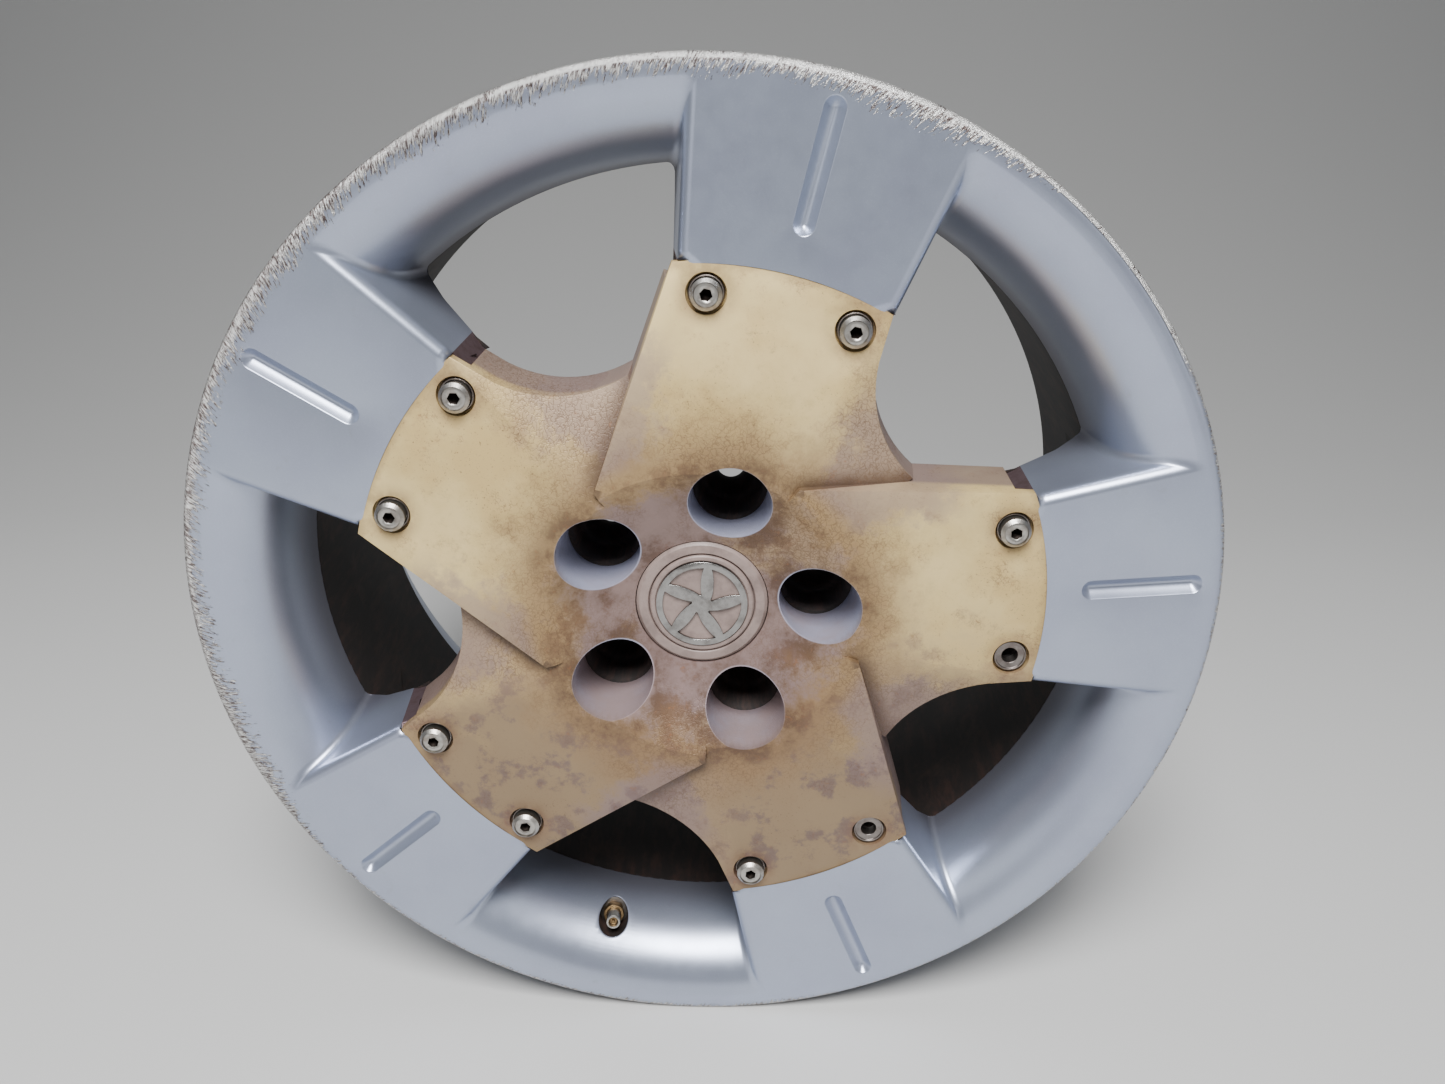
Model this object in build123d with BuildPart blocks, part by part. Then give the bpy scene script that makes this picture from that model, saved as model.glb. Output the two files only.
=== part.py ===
from build123d import *
from math import atan2, cos, radians, sin, tan
import os

# Alloy road-car wheel with a bolted five-arm centre cover.
# The axle is the Y axis, the outboard face looks towards -Y and +Z is up.
# The origin is on the axle at the middle of the rim's width.
# Outboard distances, here called w, are measured from the origin towards -Y.

# Rim, 18 x 8J
lip_r = 248.5            # flange outer radius
seat_r = 231.0           # bead seat radius at the flange
flange_in = 101.6        # half the rim width, flange to flange
face_w = 114.3           # spoke faces and lip front
rear_w = -114.3          # rear flange
window_r = 204.0         # barrel inside radius at the disc
window_w = 58.7          # foot of the swept dish
rear_bore_r = 209.0      # barrel inside radius before the rear flare
well_r = 213.0           # drop-centre radius, tyre side

# Hub
mount_w = 50.0           # mounting face, offset 50
hub_bore_r = 30.05
cap_bore_r = 28.5
boss_r = 34.5            # centre boss that the cap stands on
boss_w = 98.6
pad_r = 78.0             # mounting pad
pad_pocket_r = 11.5      # lightening pockets in the pad
pad_pocket_deep = 11.0
floor_w = 83.0           # hub floor that the cover's pocket tubes reach
lug_pcd = 114.3
lug_hole_r = 7.4
lug_cone_r = 13.5
lug_well_r = 16.5
lug_seat_w = 66.0

# Spokes
arms = 5
pitch = 360 / arms
first_arm = 76.14        # angle of the top arm from +X towards +Z
spoke_half = 49.0        # half width of a spoke face at the cover's rim
spoke_flare = 0.18       # growth of the half width for each mm outwards
flare_v = 163.0
spoke_draft = 8.0
side_v = (140.0, 252.0)  # a window's straight sides run between these
side_end_v = 275.0
core_w = 109.5           # spoke top under the cover
core_inset = 8.0         # how far the spoke steps in under the cover
under_bottom = 111.0     # foot of each window behind the cover
spoke_back_w = 98.0      # floor of the hollow in a spoke's back
hollow_half = 32.0
hollow_v = (100.0, 191.0)
groove_r = (181.5, 239.0)
groove_half = 4.8
groove_depth = 3.6

# Centre cover
cover_r = 166.4
shell = 2.8
cut_w = 123.0             # above every point of the cover
crest_w = 121.6           # where the arms' roots are flattened off
skirt_w = 84.2           # foot of the cover's skirt and pocket tubes
arm_half = 48.2
arm_foot_v = 160.0           # where an arm's face starts to climb
arm_root = (-62.0, 50.0)     # inner end of an arm's straight edge
arm_waist = (46.8, 138.0)    # where the other edge starts to curve
arm_bend = (55.6, 110.0)
arm_corner = (77.8, 87.8)    # where that edge meets the next arm
corner_w = 106.7
crown = (62.4, 120.9)        # v and w of the crest at an arm's root
crease = (24.0, 80.0)        # inner end of the crease across an arm
end_skirt_r = 163.3          # inside of the skirt along the arms' ends
corner_at = (54.0, 163.0)    # middle of the cut under each arm's end corners
corner_cut = (20.0, 26.0)
dish_edge = (33.2, 102.2)    # inner edge of the cover's middle dish
dish_rim = (74.0, 121.0)
pocket_top_r = 20.1
pocket_foot_r = 18.5
pocket_taper = 2.2
pocket_wall = 2.0
cap_hole_r = 32.9

# Cover fasteners
screw_r = 152.75
screw_half_angle = 12.63
counterbore_r = 9.1
clamp_w = 110.6          # clamp face inside each counterbore
boss_foot_w = 106.0
cover_boss_r = 11.6
cover_hole_r = 5.6
boss_seat_r = 12.6       # round recess in the spoke under each boss
tapped_r = 4.0
tapped_deep = 24.0
missing_screws = ((3, -1), (4, 1))   # lost from these holes: arm, side
collar_r = 8.4
collar_top_w = 113.4
spigot_r = 5.3
head_w = 112.4           # screw heads stand in the collars' cups
head_r = 6.65
head_h = 7.1
shank_r = 3.7
screw_foot_w = 88.0
socket_flats = 5.0

# Centre cap
cap_r = 32.4
cap_w = 103.1
cap_web = 0.4            # the cap's underside above the boss
cap_face_w = 101.0
cap_face_r = 25.7
emblem_r = 22.5
emblem_band = 3.2
emblem_h = 1.5
skirt_foot_w = 80.0
skirt_wall = 2.2
ring_wire_r = 0.9

# Valve: t is measured along its axis, inboard from where it leaves the dish
valve_angle = 255.64
valve_base = (211.7, 89.7)   # r and w where its axis meets the dish
valve_tilt = 19.0
valve_hole_r = 5.65
spot_t = 10.5            # spot face under the washer
spot_r = 9.8
flat_t = 24.5            # flat on the tyre side
flat_r = 10.5
stem_tip = -7.5
stem_r = 3.85
stem_bore_r = 2.75
seat_t = 12.3            # step at the bottom of the core's bore
air_r = 1.2
thread_t = 20.0
base_t = 27.4
base_h = 3.6
base_r = 7.8
nut_t = 9.1
nut_h = 6.1
nut_flats = 11.0
washer_r = 8.0
core_tip = -5.0
core_foot = 5.0
core_r = 2.4
seal_t = 0.0
seal_h = 2.4
seal_groove_r = 1.5
pin_r = 0.55
pin_foot = 10.5
poppet_r = 1.7
coil_r = 1.7
coil_wire_r = 0.22
coil_pitch = 1.05
coil_h = 4.2

# Tyre-pressure sender, in the rim's well behind the valve
case_r = 214.2
case_w = 50.0
case_size = (34.0, 42.0)
case_h = 13.8
room_w = 31.0
room_size = (28.0, 20.0)
lid_r = 226.0
nose_h = 3.0
sensor_screw_r = 1.9
sensor_head_r = 3.3

gap = 0.3


def front(w):
    """Plane square to the axle, seen from outboard: local x is +X, local y is +Z."""
    return Plane(origin=(0, -w, 0), x_dir=(1, 0, 0), z_dir=(0, -1, 0))


def arm_plane(k, w):
    """The same plane turned so that local y runs out along arm k."""
    a = radians(first_arm + k * pitch)
    return Plane(origin=(0, -w, 0), x_dir=(sin(a), 0, -cos(a)), z_dir=(0, -1, 0))


def window_plane(k, w):
    """Turned so that local y runs out along the middle of window k, clockwise of arm k."""
    return arm_plane(k - 0.5, w)


def from_window(u, v):
    """A point of the arm counter-clockwise of a window, in the window's own plane."""
    a = radians(pitch / 2)
    return (u * cos(a) - v * sin(a), u * sin(a) + v * cos(a))


def ring_points(radius, count, start):
    step = radians(360 / count)
    return [
        (radius * cos(radians(start) + i * step), radius * sin(radians(start) + i * step))
        for i in range(count)
    ]


def revolved(points):
    """Close the (r, w) outline and turn it about the axle."""
    with BuildPart() as body:
        with BuildSketch(Plane.XY):
            with BuildLine():
                Polyline(*[(r, -w) for r, w in points], close=True)
            make_face()
        revolve(axis=Axis.Y)
    return body.part


def valve_plane(t):
    """Square to the valve's axis, t mm inboard of where it leaves the dish."""
    a = radians(valve_angle)
    tilt = radians(valve_tilt)
    r = valve_base[0] + t * sin(tilt)
    w = valve_base[1] - t * cos(tilt)
    out = (-sin(tilt) * cos(a), -cos(tilt), -sin(tilt) * sin(a))
    return Plane(origin=(r * cos(a), -w, r * sin(a)), x_dir=(-sin(a), 0, cos(a)), z_dir=out)


os.makedirs("parts", exist_ok=True)

lug_points = ring_points(lug_pcd / 2, arms, first_arm)
screw_points = {
    (k, side): (
        side * screw_r * sin(radians(screw_half_angle)),
        screw_r * cos(radians(screw_half_angle)),
    )
    for k in range(arms)
    for side in (-1, 1)
}

# ---------------------------------------------------------------- rim
# Barrel: tyre side from the front flange to the rear one, then back along the inside.
barrel_outline = [
    (243.0, face_w),
    (lip_r - 1.6, face_w - 0.4),
    (lip_r, face_w - 2.2),
    (lip_r, face_w - 5.0),
    (lip_r - 1.5, face_w - 7.0),
    (lip_r - 4.0, face_w - 8.5),
    (lip_r - 7.0, flange_in),
    (seat_r + 3.0, flange_in),
    (seat_r, flange_in - 3.0),
    (seat_r - 1.7, flange_in - 20.0),
    (seat_r + 0.1, flange_in - 23.5),
    (seat_r - 1.8, flange_in - 27.0),
    (well_r, 56.0),
    (well_r, -62.0),
    (seat_r - 1.8, -74.5),
    (seat_r + 0.1, -78.0),
    (seat_r - 1.7, -81.5),
    (seat_r, -flange_in + 3.0),
    (seat_r + 3.0, -flange_in),
    (lip_r - 6.0, -flange_in),
    (lip_r - 1.5, rear_w + 9.0),
    (lip_r, rear_w + 6.5),
    (lip_r, rear_w + 2.0),
    (lip_r - 1.6, rear_w),
    (lip_r - 9.0, rear_w),
    (226.5, rear_w + 7.0),
    (224.5, -98.0),
    (223.5, -80.0),
    (rear_bore_r, -67.0),
]
# The swept dish, from the foot of the sweep out to the lip.
dish_outline = [
    (window_r, window_w),
    (204.6, 64.0),
    (205.9, 73.0),
    (208.0, 83.0),
    (211.3, 92.0),
    (216.4, 100.0),
    (223.2, 106.6),
    (231.0, 111.2),
    (238.0, 113.6),
]
# Disc: hub and spokes as one turned blank, before its windows are cut.
disc_outline = [
    (hub_bore_r, mount_w),
    (pad_r - 1.0, mount_w),
    (pad_r, mount_w + 1.0),
    (82.0, 55.0),
    (96.0, 66.0),
    (125.0, 78.0),
    (165.0, 79.5),
    (188.0, 70.0),
    (200.0, 60.5),
    (206.5, window_w - 2.0),
    (211.0, window_w + 4.0),
    (213.0, 80.0),
    (220.0, 100.0),
    (240.0, face_w - 4.0),
    (240.0, face_w),
    (cover_r + 0.5, face_w),
    (cover_r + 0.5, core_w),
    (138.0, core_w),
    (130.0, 98.0),
    (92.0, 98.0),
    (83.0, floor_w),
    (boss_r, floor_w),
    (boss_r, boss_w),
    (cap_bore_r, boss_w),
    (cap_bore_r, 72.0),
    (hub_bore_r, 70.0),
]

side_at = [
    (spoke_half + spoke_flare * (v - flare_v), v) for v in side_v
]
under_half = spoke_half - core_inset
with BuildPart() as rim:
    add(revolved(disc_outline))
    # Five windows between the spoke faces, then wider ones behind the cover.
    for k in range(arms):
        near, far = (from_window(*p) for p in side_at)
        with BuildSketch(window_plane(k, face_w + 1.0)):
            with BuildLine():
                Polyline(near, far, (0, side_end_v), (-far[0], far[1]), (-near[0], near[1]), close=True)
            make_face()
        extrude(amount=-80, taper=spoke_draft * 0.75, mode=Mode.SUBTRACT)
        start = from_window(under_half + 0.5, 159.5)
        waist = from_window(under_half - 0.5, 140.0)
        with BuildSketch(window_plane(k, core_w + 1.0)):
            with BuildLine():
                Line((-start[0], start[1]), start)
                Line(start, waist)
                ThreePointArc(waist, (0, under_bottom), (-waist[0], waist[1]))
                Line((-waist[0], waist[1]), (-start[0], start[1]))
            make_face()
        extrude(amount=-80, taper=spoke_draft * 0.75, mode=Mode.SUBTRACT)
    add(revolved(dish_outline + barrel_outline))
    # Stadium groove down each spoke face
    for k in range(arms):
        with BuildSketch(arm_plane(k, face_w)):
            with Locations((0, sum(groove_r) / 2)):
                SlotOverall(groove_r[1] - groove_r[0], 2 * groove_half, rotation=90)
        extrude(amount=-groove_depth, taper=30, mode=Mode.SUBTRACT)
    # Lug wells, their 60 degree seats and the stud holes
    with BuildSketch(front(floor_w)):
        with Locations(*lug_points):
            Circle(lug_well_r)
    extrude(amount=-(floor_w - lug_seat_w), mode=Mode.SUBTRACT)
    seat_depth = (lug_cone_r - lug_hole_r) / tan(radians(30))
    with BuildSketch(front(lug_seat_w)):
        with Locations(*lug_points):
            Circle(lug_cone_r)
    extrude(amount=-seat_depth, taper=30, mode=Mode.SUBTRACT)
    with BuildSketch(front(lug_seat_w)):
        with Locations(*lug_points):
            Circle(lug_hole_r)
    extrude(amount=-30, mode=Mode.SUBTRACT)
    # Lightening pockets in the mounting pad, between the studs
    with BuildSketch(front(mount_w)):
        with Locations(*ring_points(lug_pcd / 2, arms, first_arm + pitch / 2)):
            Circle(pad_pocket_r)
    extrude(amount=pad_pocket_deep, taper=6, mode=Mode.SUBTRACT)
    # Hollow in the back of each spoke
    for k in range(arms):
        with BuildSketch(arm_plane(k, spoke_back_w)):
            with Locations((0, sum(hollow_v) / 2)):
                RectangleRounded(2 * hollow_half, hollow_v[1] - hollow_v[0], 14)
        extrude(amount=-50, taper=-6, mode=Mode.SUBTRACT)
    # Pads and tapped holes for the cover's screws
    for (k, side), point in screw_points.items():
        with BuildSketch(arm_plane(k, boss_foot_w - gap / 3)):
            with Locations(point):
                Circle(boss_seat_r)
        extrude(amount=8, mode=Mode.SUBTRACT)
        with BuildSketch(arm_plane(k, core_w)):
            with Locations(point):
                Circle(tapped_r)
        extrude(amount=-tapped_deep, mode=Mode.SUBTRACT)
    # Valve hole, with a spot face on the dish and a flat on the tyre side
    with BuildSketch(valve_plane(40)):
        Circle(valve_hole_r)
    extrude(amount=60, mode=Mode.SUBTRACT)
    with BuildSketch(valve_plane(spot_t)):
        Circle(spot_r)
    extrude(amount=60, mode=Mode.SUBTRACT)
    with BuildSketch(valve_plane(flat_t)):
        Circle(flat_r)
    extrude(amount=-22, mode=Mode.SUBTRACT)
rim.part.label = "rim"
export_step(rim.part, "parts/rim.step")

# ---------------------------------------------------------------- centre cover
def arm_face(k):
    """Plane of arm k's main face, which climbs from the spoke to the raised middle."""
    climb = atan2(crown[1] - face_w, arm_foot_v - crown[0])
    base = arm_plane(k, face_w)
    origin = base.from_local_coords((0, arm_foot_v, 0))
    normal = base.from_local_coords((0, sin(climb), cos(climb))) - base.origin
    return Plane(origin=origin, x_dir=base.x_dir, z_dir=normal)


def arm_flank(k):
    """Plane of the lower part of arm k's face, which dips to meet the next arm."""
    base = arm_plane(k, 0)
    rise = (crown[1] - face_w) * (arm_foot_v - crease[1]) / (arm_foot_v - crown[0])
    a = base.from_local_coords((arm_waist[0], arm_foot_v, face_w))
    b = base.from_local_coords((arm_corner[0], arm_corner[1], corner_w))
    c = base.from_local_coords((crease[0], crease[1], face_w + rise))
    normal = (a - b).cross(c - b)
    if normal.Y > 0:
        normal = -normal
    return Plane(origin=b, z_dir=normal)


def cover_block(inset):
    """The cover as one solid block; with an inset it is the space inside the shell."""
    left = arm_half - inset
    root = (arm_root[0] + inset, arm_root[1])
    waist = (arm_waist[0] - inset, arm_waist[1])
    bend = (arm_bend[0] - 0.8 * inset, arm_bend[1] - 0.6 * inset)
    corner = (arm_corner[0] - 0.3 * inset, arm_corner[1] - inset)
    arms_made = []
    for k in range(arms):
        with BuildPart() as arm:
            with BuildSketch(arm_plane(k, cut_w)):
                with BuildLine():
                    Polyline(waist, (waist[0], 175.0), (-left, 175.0), root, (0, -5.0), corner)
                    ThreePointArc(corner, bend, waist)
                make_face()
            extrude(amount=-(cut_w - skirt_w + inset), taper=-5)
            for face in (arm_face(k), arm_flank(k)):
                split(bisect_by=face.offset(-inset), keep=Keep.BOTTOM)
        arms_made.append(arm.part)
    with BuildPart() as block:
        add(arms_made)
        with BuildSketch(front(crest_w)):
            Circle(cover_r - inset)
        extrude(amount=-60, mode=Mode.INTERSECT)
        run = dish_rim[0] - dish_edge[0]
        rise = dish_rim[1] - dish_edge[1]
        low = dish_edge[1] - inset
        top = low + rise * 2
        add(revolved([(0, low), (dish_edge[0], low), (dish_edge[0] + run * 2, top), (0, top)]),
            mode=Mode.SUBTRACT)
    return block.part


cover_outer = cover_block(0)
with BuildPart() as centre_cover:
    add(cover_outer)
    add(cover_block(shell), mode=Mode.SUBTRACT)
    # Tapered tubes down to the lug wells and bosses under the screws
    with BuildPart(mode=Mode.PRIVATE) as columns:
        with BuildSketch(front(skirt_w)):
            with Locations(*lug_points):
                Circle(pocket_foot_r + pocket_wall)
        extrude(amount=cut_w - skirt_w, taper=-pocket_taper)
        for (k, side), point in screw_points.items():
            with BuildSketch(arm_plane(k, boss_foot_w)):
                with Locations(point):
                    Circle(cover_boss_r)
            extrude(amount=20)
        add(cover_outer, mode=Mode.INTERSECT)
    add(columns.part)
    with BuildSketch(front(skirt_w)):
        with Locations(*lug_points):
            Circle(pocket_foot_r)
    extrude(amount=60, taper=-pocket_taper, mode=Mode.SUBTRACT)
    with BuildSketch(front(cut_w)):
        Circle(cap_hole_r)
    extrude(amount=-60, mode=Mode.SUBTRACT)
    for (k, side), point in screw_points.items():
        with BuildSketch(arm_plane(k, clamp_w)):
            with Locations(point):
                Circle(counterbore_r)
        extrude(amount=20, mode=Mode.SUBTRACT)
        with BuildSketch(arm_plane(k, clamp_w)):
            with Locations(point):
                Circle(cover_hole_r)
        extrude(amount=-20, mode=Mode.SUBTRACT)
    # The arms' ends and corners stop on top of the spokes
    with BuildSketch(front(core_w + gap)):
        Circle(cover_r + 4)
        Circle(end_skirt_r, mode=Mode.SUBTRACT)
    extrude(amount=-40, mode=Mode.SUBTRACT)
    for k in range(arms):
        with BuildSketch(arm_plane(k, core_w + gap)):
            with Locations((-corner_at[0], corner_at[1]), corner_at):
                Rectangle(*corner_cut)
        extrude(amount=-40, mode=Mode.SUBTRACT)
centre_cover.part.label = "centre_cover"
export_step(centre_cover.part, "parts/centre_cover.step")

# ---------------------------------------------------------------- cover fasteners
def discs(places, low_w, high_w, radius, taper=0):
    """A disc at each of the given screw places, between two outboard distances."""
    with BuildPart() as group:
        for (k, side), point in places:
            with BuildSketch(arm_plane(k, low_w)):
                with Locations(point):
                    Circle(radius)
        extrude(amount=high_w - low_w, taper=taper)
    return group.part


screw_places = list(screw_points.items())
held_places = [item for item in screw_places if item[0] not in missing_screws]

with BuildPart() as cover_collars:
    add(discs(screw_places, clamp_w, collar_top_w, collar_r, 12))
    add(discs(screw_places, boss_foot_w, clamp_w, spigot_r))
    add(discs(screw_places, head_w, collar_top_w + 1, head_r + gap), mode=Mode.SUBTRACT)
    add(discs(screw_places, boss_foot_w - 1, head_w + 1, shank_r + gap), mode=Mode.SUBTRACT)
cover_collars.part.label = "cover_collars"
export_step(cover_collars.part, "parts/cover_collars.step")

with BuildPart() as cover_screws:
    add(discs(held_places, head_w, head_w + head_h, head_r))
    chamfer(cover_screws.faces().sort_by(Axis.Y)[:len(held_places)].edges(), 0.7)
    add(discs(held_places, screw_foot_w, head_w, shank_r))
    for (k, side), point in held_places:
        with BuildSketch(arm_plane(k, head_w + head_h)):
            with Locations(point):
                RegularPolygon(socket_flats / 2, 6, major_radius=False)
        extrude(amount=-4, mode=Mode.SUBTRACT)
cover_screws.part.label = "cover_screws"
export_step(cover_screws.part, "parts/cover_screws.step")

# ---------------------------------------------------------------- centre cap
skirt_in = cap_bore_r - gap - skirt_wall
with BuildPart() as cap_body:
    add(revolved([
        (0, boss_w + cap_web),
        (0, cap_face_w),
        (cap_face_r + gap, cap_face_w),
        (cap_face_r + gap + 0.4, cap_w - 0.4),
        (cap_face_r + gap + 0.8, cap_w),
        (cap_r - 1.6, cap_w),
        (cap_r, cap_w - 1.6),
        (cap_r, boss_w + 0.1),
        (cap_bore_r - gap, boss_w + 0.1),
        (cap_bore_r - gap, skirt_foot_w),
        (skirt_in, skirt_foot_w),
        (skirt_in, boss_w + cap_web),
    ]))
    # Slots that let the skirt's clips spring
    for angle in range(0, 180, 36):
        with BuildSketch(front(skirt_foot_w)):
            Rectangle(3 * cap_bore_r, 5.0, rotation=angle)
        extrude(amount=boss_w - skirt_foot_w - 2.0, mode=Mode.SUBTRACT)
cap_body.part.label = "cap_body"
export_step(cap_body.part, "parts/cap_body.step")

cap_face = revolved([
    (0, cap_face_w),
    (0, cap_w - 0.3),
    (emblem_r + gap - 1.1, cap_w - 0.3),
    (emblem_r + gap, cap_w - 0.3),
    (emblem_r + gap + 0.3, cap_w + 0.6),
    (cap_face_r - 0.8, cap_w + 0.6),
    (cap_face_r, cap_w - 0.2),
    (cap_face_r, cap_face_w),
])
cap_face.label = "cap_face"
export_step(cap_face, "parts/cap_face.step")

# A plain ring round a five-bladed rosette
with BuildPart() as cap_emblem:
    with BuildSketch(front(cap_w - 0.3)):
        Circle(emblem_r)
        Circle(emblem_r - emblem_band, mode=Mode.SUBTRACT)
        Circle(5.0)
        with PolarLocations(0, 5, start_angle=first_arm):
            with Locations((emblem_r / 2, 0)):
                Ellipse(emblem_r / 2 - 1.0, 3.2, rotation=12)
    extrude(amount=emblem_h)
cap_emblem.part.label = "cap_emblem"
export_step(cap_emblem.part, "parts/cap_emblem.step")

# Wire ring that presses the skirt's clips outwards
with BuildPart() as cap_spring_ring:
    with BuildSketch(Plane.XY):
        with Locations((skirt_in - gap - ring_wire_r, -(skirt_foot_w + 4.0))):
            Circle(ring_wire_r)
    revolve(axis=Axis.Y)
cap_spring_ring.part.label = "cap_spring_ring"
export_step(cap_spring_ring.part, "parts/cap_spring_ring.step")


# ---------------------------------------------------------------- valve
def valve_tube(outline, bore):
    """Stack of discs along the valve's axis, (t from, t to, radius), with a bore."""
    with BuildPart() as tube:
        for start, end, radius in outline:
            with BuildSketch(valve_plane(start)):
                Circle(radius)
            extrude(amount=start - end)
        for start, end, radius in bore:
            with BuildSketch(valve_plane(start)):
                Circle(radius)
            extrude(amount=start - end, mode=Mode.SUBTRACT)
    return tube.part


stem_in = stem_r + gap
valve_stem = valve_tube(
    [(stem_tip, base_t, stem_r), (base_t, base_t + base_h, base_r)],
    [(stem_tip, seat_t, stem_bore_r), (seat_t, thread_t, air_r),
     (thread_t, base_t + base_h, sensor_screw_r + gap)],
)
valve_stem.label = "valve_stem"
export_step(valve_stem, "parts/valve_stem.step")

valve_grommet = valve_tube(
    [(spot_t + 4.0, flat_t, valve_hole_r - gap), (flat_t, base_t, base_r)],
    [(spot_t + 4.0, base_t, stem_in)],
)
valve_grommet.label = "valve_grommet"
export_step(valve_grommet, "parts/valve_grommet.step")

valve_washer = valve_tube([(nut_t, spot_t, washer_r)], [(nut_t, spot_t, stem_in)])
valve_washer.label = "valve_washer"
export_step(valve_washer, "parts/valve_washer.step")

with BuildPart() as valve_nut:
    with BuildSketch(valve_plane(nut_t)):
        RegularPolygon(nut_flats / 2, 6, major_radius=False)
    extrude(amount=nut_h)
    with BuildSketch(valve_plane(nut_t)):
        Circle(nut_flats / 2 + 0.55)
    extrude(amount=nut_h, taper=3, mode=Mode.INTERSECT)
    with BuildSketch(valve_plane(nut_t)):
        Circle(stem_in)
    extrude(amount=nut_h, mode=Mode.SUBTRACT)
valve_nut.part.label = "valve_nut"
export_step(valve_nut.part, "parts/valve_nut.step")

valve_core = valve_tube(
    [(core_tip, seal_t, core_r), (seal_t, seal_t + seal_h, seal_groove_r),
     (seal_t + seal_h, core_foot, core_r)],
    [(core_tip, core_foot, pin_r + gap)],
)
valve_core.label = "valve_core"
export_step(valve_core, "parts/valve_core.step")

valve_core_seal = valve_tube(
    [(seal_t + 0.2, seal_t + seal_h - 0.2, stem_bore_r - gap)],
    [(seal_t + 0.2, seal_t + seal_h - 0.2, seal_groove_r + gap)],
)
valve_core_seal.label = "valve_core_seal"
export_step(valve_core_seal, "parts/valve_core_seal.step")

poppet_t = core_foot + 0.2
valve_pin = valve_tube(
    [(core_tip - 1.2, pin_foot, pin_r), (poppet_t, poppet_t + 0.8, poppet_r)], [])
valve_pin.label = "valve_pin"
export_step(valve_pin, "parts/valve_pin.step")

# Coil spring standing on the step at the bottom of the stem's bore
coil_foot = valve_plane(seat_t - coil_wire_r - 0.05)
with BuildPart() as valve_spring:
    with BuildLine():
        coil = Helix(pitch=coil_pitch, height=coil_h, radius=coil_r,
                     center=coil_foot.origin, direction=coil_foot.z_dir)
    with BuildSketch(Plane(origin=coil @ 0, z_dir=coil % 0)):
        Circle(coil_wire_r)
    sweep(path=coil, is_frenet=True)
valve_spring.part.label = "valve_spring"
export_step(valve_spring.part, "parts/valve_spring.step")


# ---------------------------------------------------------------- tyre-pressure sender
def well_plane(r, w):
    """Tangent plane at the valve's angle: local x runs round the rim, local y inboard."""
    a = radians(valve_angle)
    return Plane(origin=(r * cos(a), -w, r * sin(a)), x_dir=(sin(a), 0, -cos(a)),
                 z_dir=(cos(a), 0, sin(a)))


def well_box(r, w, width, length, height, corner):
    """Rounded block on the well: w is its outboard end, length runs inboard."""
    with BuildPart() as block:
        with BuildSketch(well_plane(r, w - length / 2)):
            RectangleRounded(width, length, corner)
        extrude(amount=height)
    return block.part


head_t = base_t + base_h + nose_h
with BuildPart() as sensor_case:
    add(well_box(case_r, case_w, case_size[0], case_size[1], case_h, 4.0))
    with BuildSketch(valve_plane(base_t + base_h)):
        Circle(base_r)
    extrude(amount=-18)
    with BuildSketch(valve_plane(head_t)):
        Circle(sensor_head_r + gap)
    extrude(amount=-40, mode=Mode.SUBTRACT)
    with BuildSketch(valve_plane(base_t + base_h)):
        Circle(sensor_screw_r + gap)
    extrude(amount=-nose_h, mode=Mode.SUBTRACT)
    add(well_box(case_r + 2.0, room_w, room_size[0], room_size[1], case_h, 2.0),
        mode=Mode.SUBTRACT)
    add(well_box(lid_r, room_w + 1.5, room_size[0] + 3, room_size[1] + 3, case_h, 3.0),
        mode=Mode.SUBTRACT)
sensor_case.part.label = "sensor_case"
export_step(sensor_case.part, "parts/sensor_case.step")

sensor_lid = well_box(lid_r, room_w + 1.5 - gap, room_size[0] + 3 - 2 * gap,
                      room_size[1] + 3 - 2 * gap, 1.8, 2.7)
sensor_lid.label = "sensor_lid"
export_step(sensor_lid, "parts/sensor_lid.step")

sensor_board = well_box(case_r + 2.0, room_w - 0.5, room_size[0] - 1, room_size[1] - 1, 1.2, 1.5)
sensor_board.label = "sensor_board"
export_step(sensor_board, "parts/sensor_board.step")

with BuildPart() as sensor_battery:
    with BuildSketch(well_plane(case_r + 3.2, room_w - room_size[1] / 2)):
        Circle(8.0)
    extrude(amount=5.0)
sensor_battery.part.label = "sensor_battery"
export_step(sensor_battery.part, "parts/sensor_battery.step")

sensor_screw = valve_tube(
    [(thread_t + 2.0, head_t, sensor_screw_r), (head_t, head_t + 3.0, sensor_head_r)],
    [(thread_t + 2.0, head_t + 3.0, 0.8)],
)
sensor_screw.label = "sensor_screw"
export_step(sensor_screw, "parts/sensor_screw.step")
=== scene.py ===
"""Five-spoke alloy road wheel with a bolted, weathered centre cover."""

from math import atan2, cos, hypot, pi, radians, sin, sqrt, tan

import bmesh
import bpy
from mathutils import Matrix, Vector


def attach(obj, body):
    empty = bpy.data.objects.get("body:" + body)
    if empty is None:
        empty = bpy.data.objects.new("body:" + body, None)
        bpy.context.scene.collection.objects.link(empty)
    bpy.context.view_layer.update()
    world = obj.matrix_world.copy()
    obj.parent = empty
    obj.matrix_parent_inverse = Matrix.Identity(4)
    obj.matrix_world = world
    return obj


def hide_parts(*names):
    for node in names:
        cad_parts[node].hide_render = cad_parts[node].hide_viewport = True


bl_info = {
    "name": "Bolted-cover road wheel",
    "version": (1, 0, 0),
    "blender": (4, 5, 0),
    "location": "View3D > Sidebar > Wheel",
    "description": "Builds an 18 inch five-spoke alloy rim with its cover, cap and valve",
    "category": "Object",
}

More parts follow.
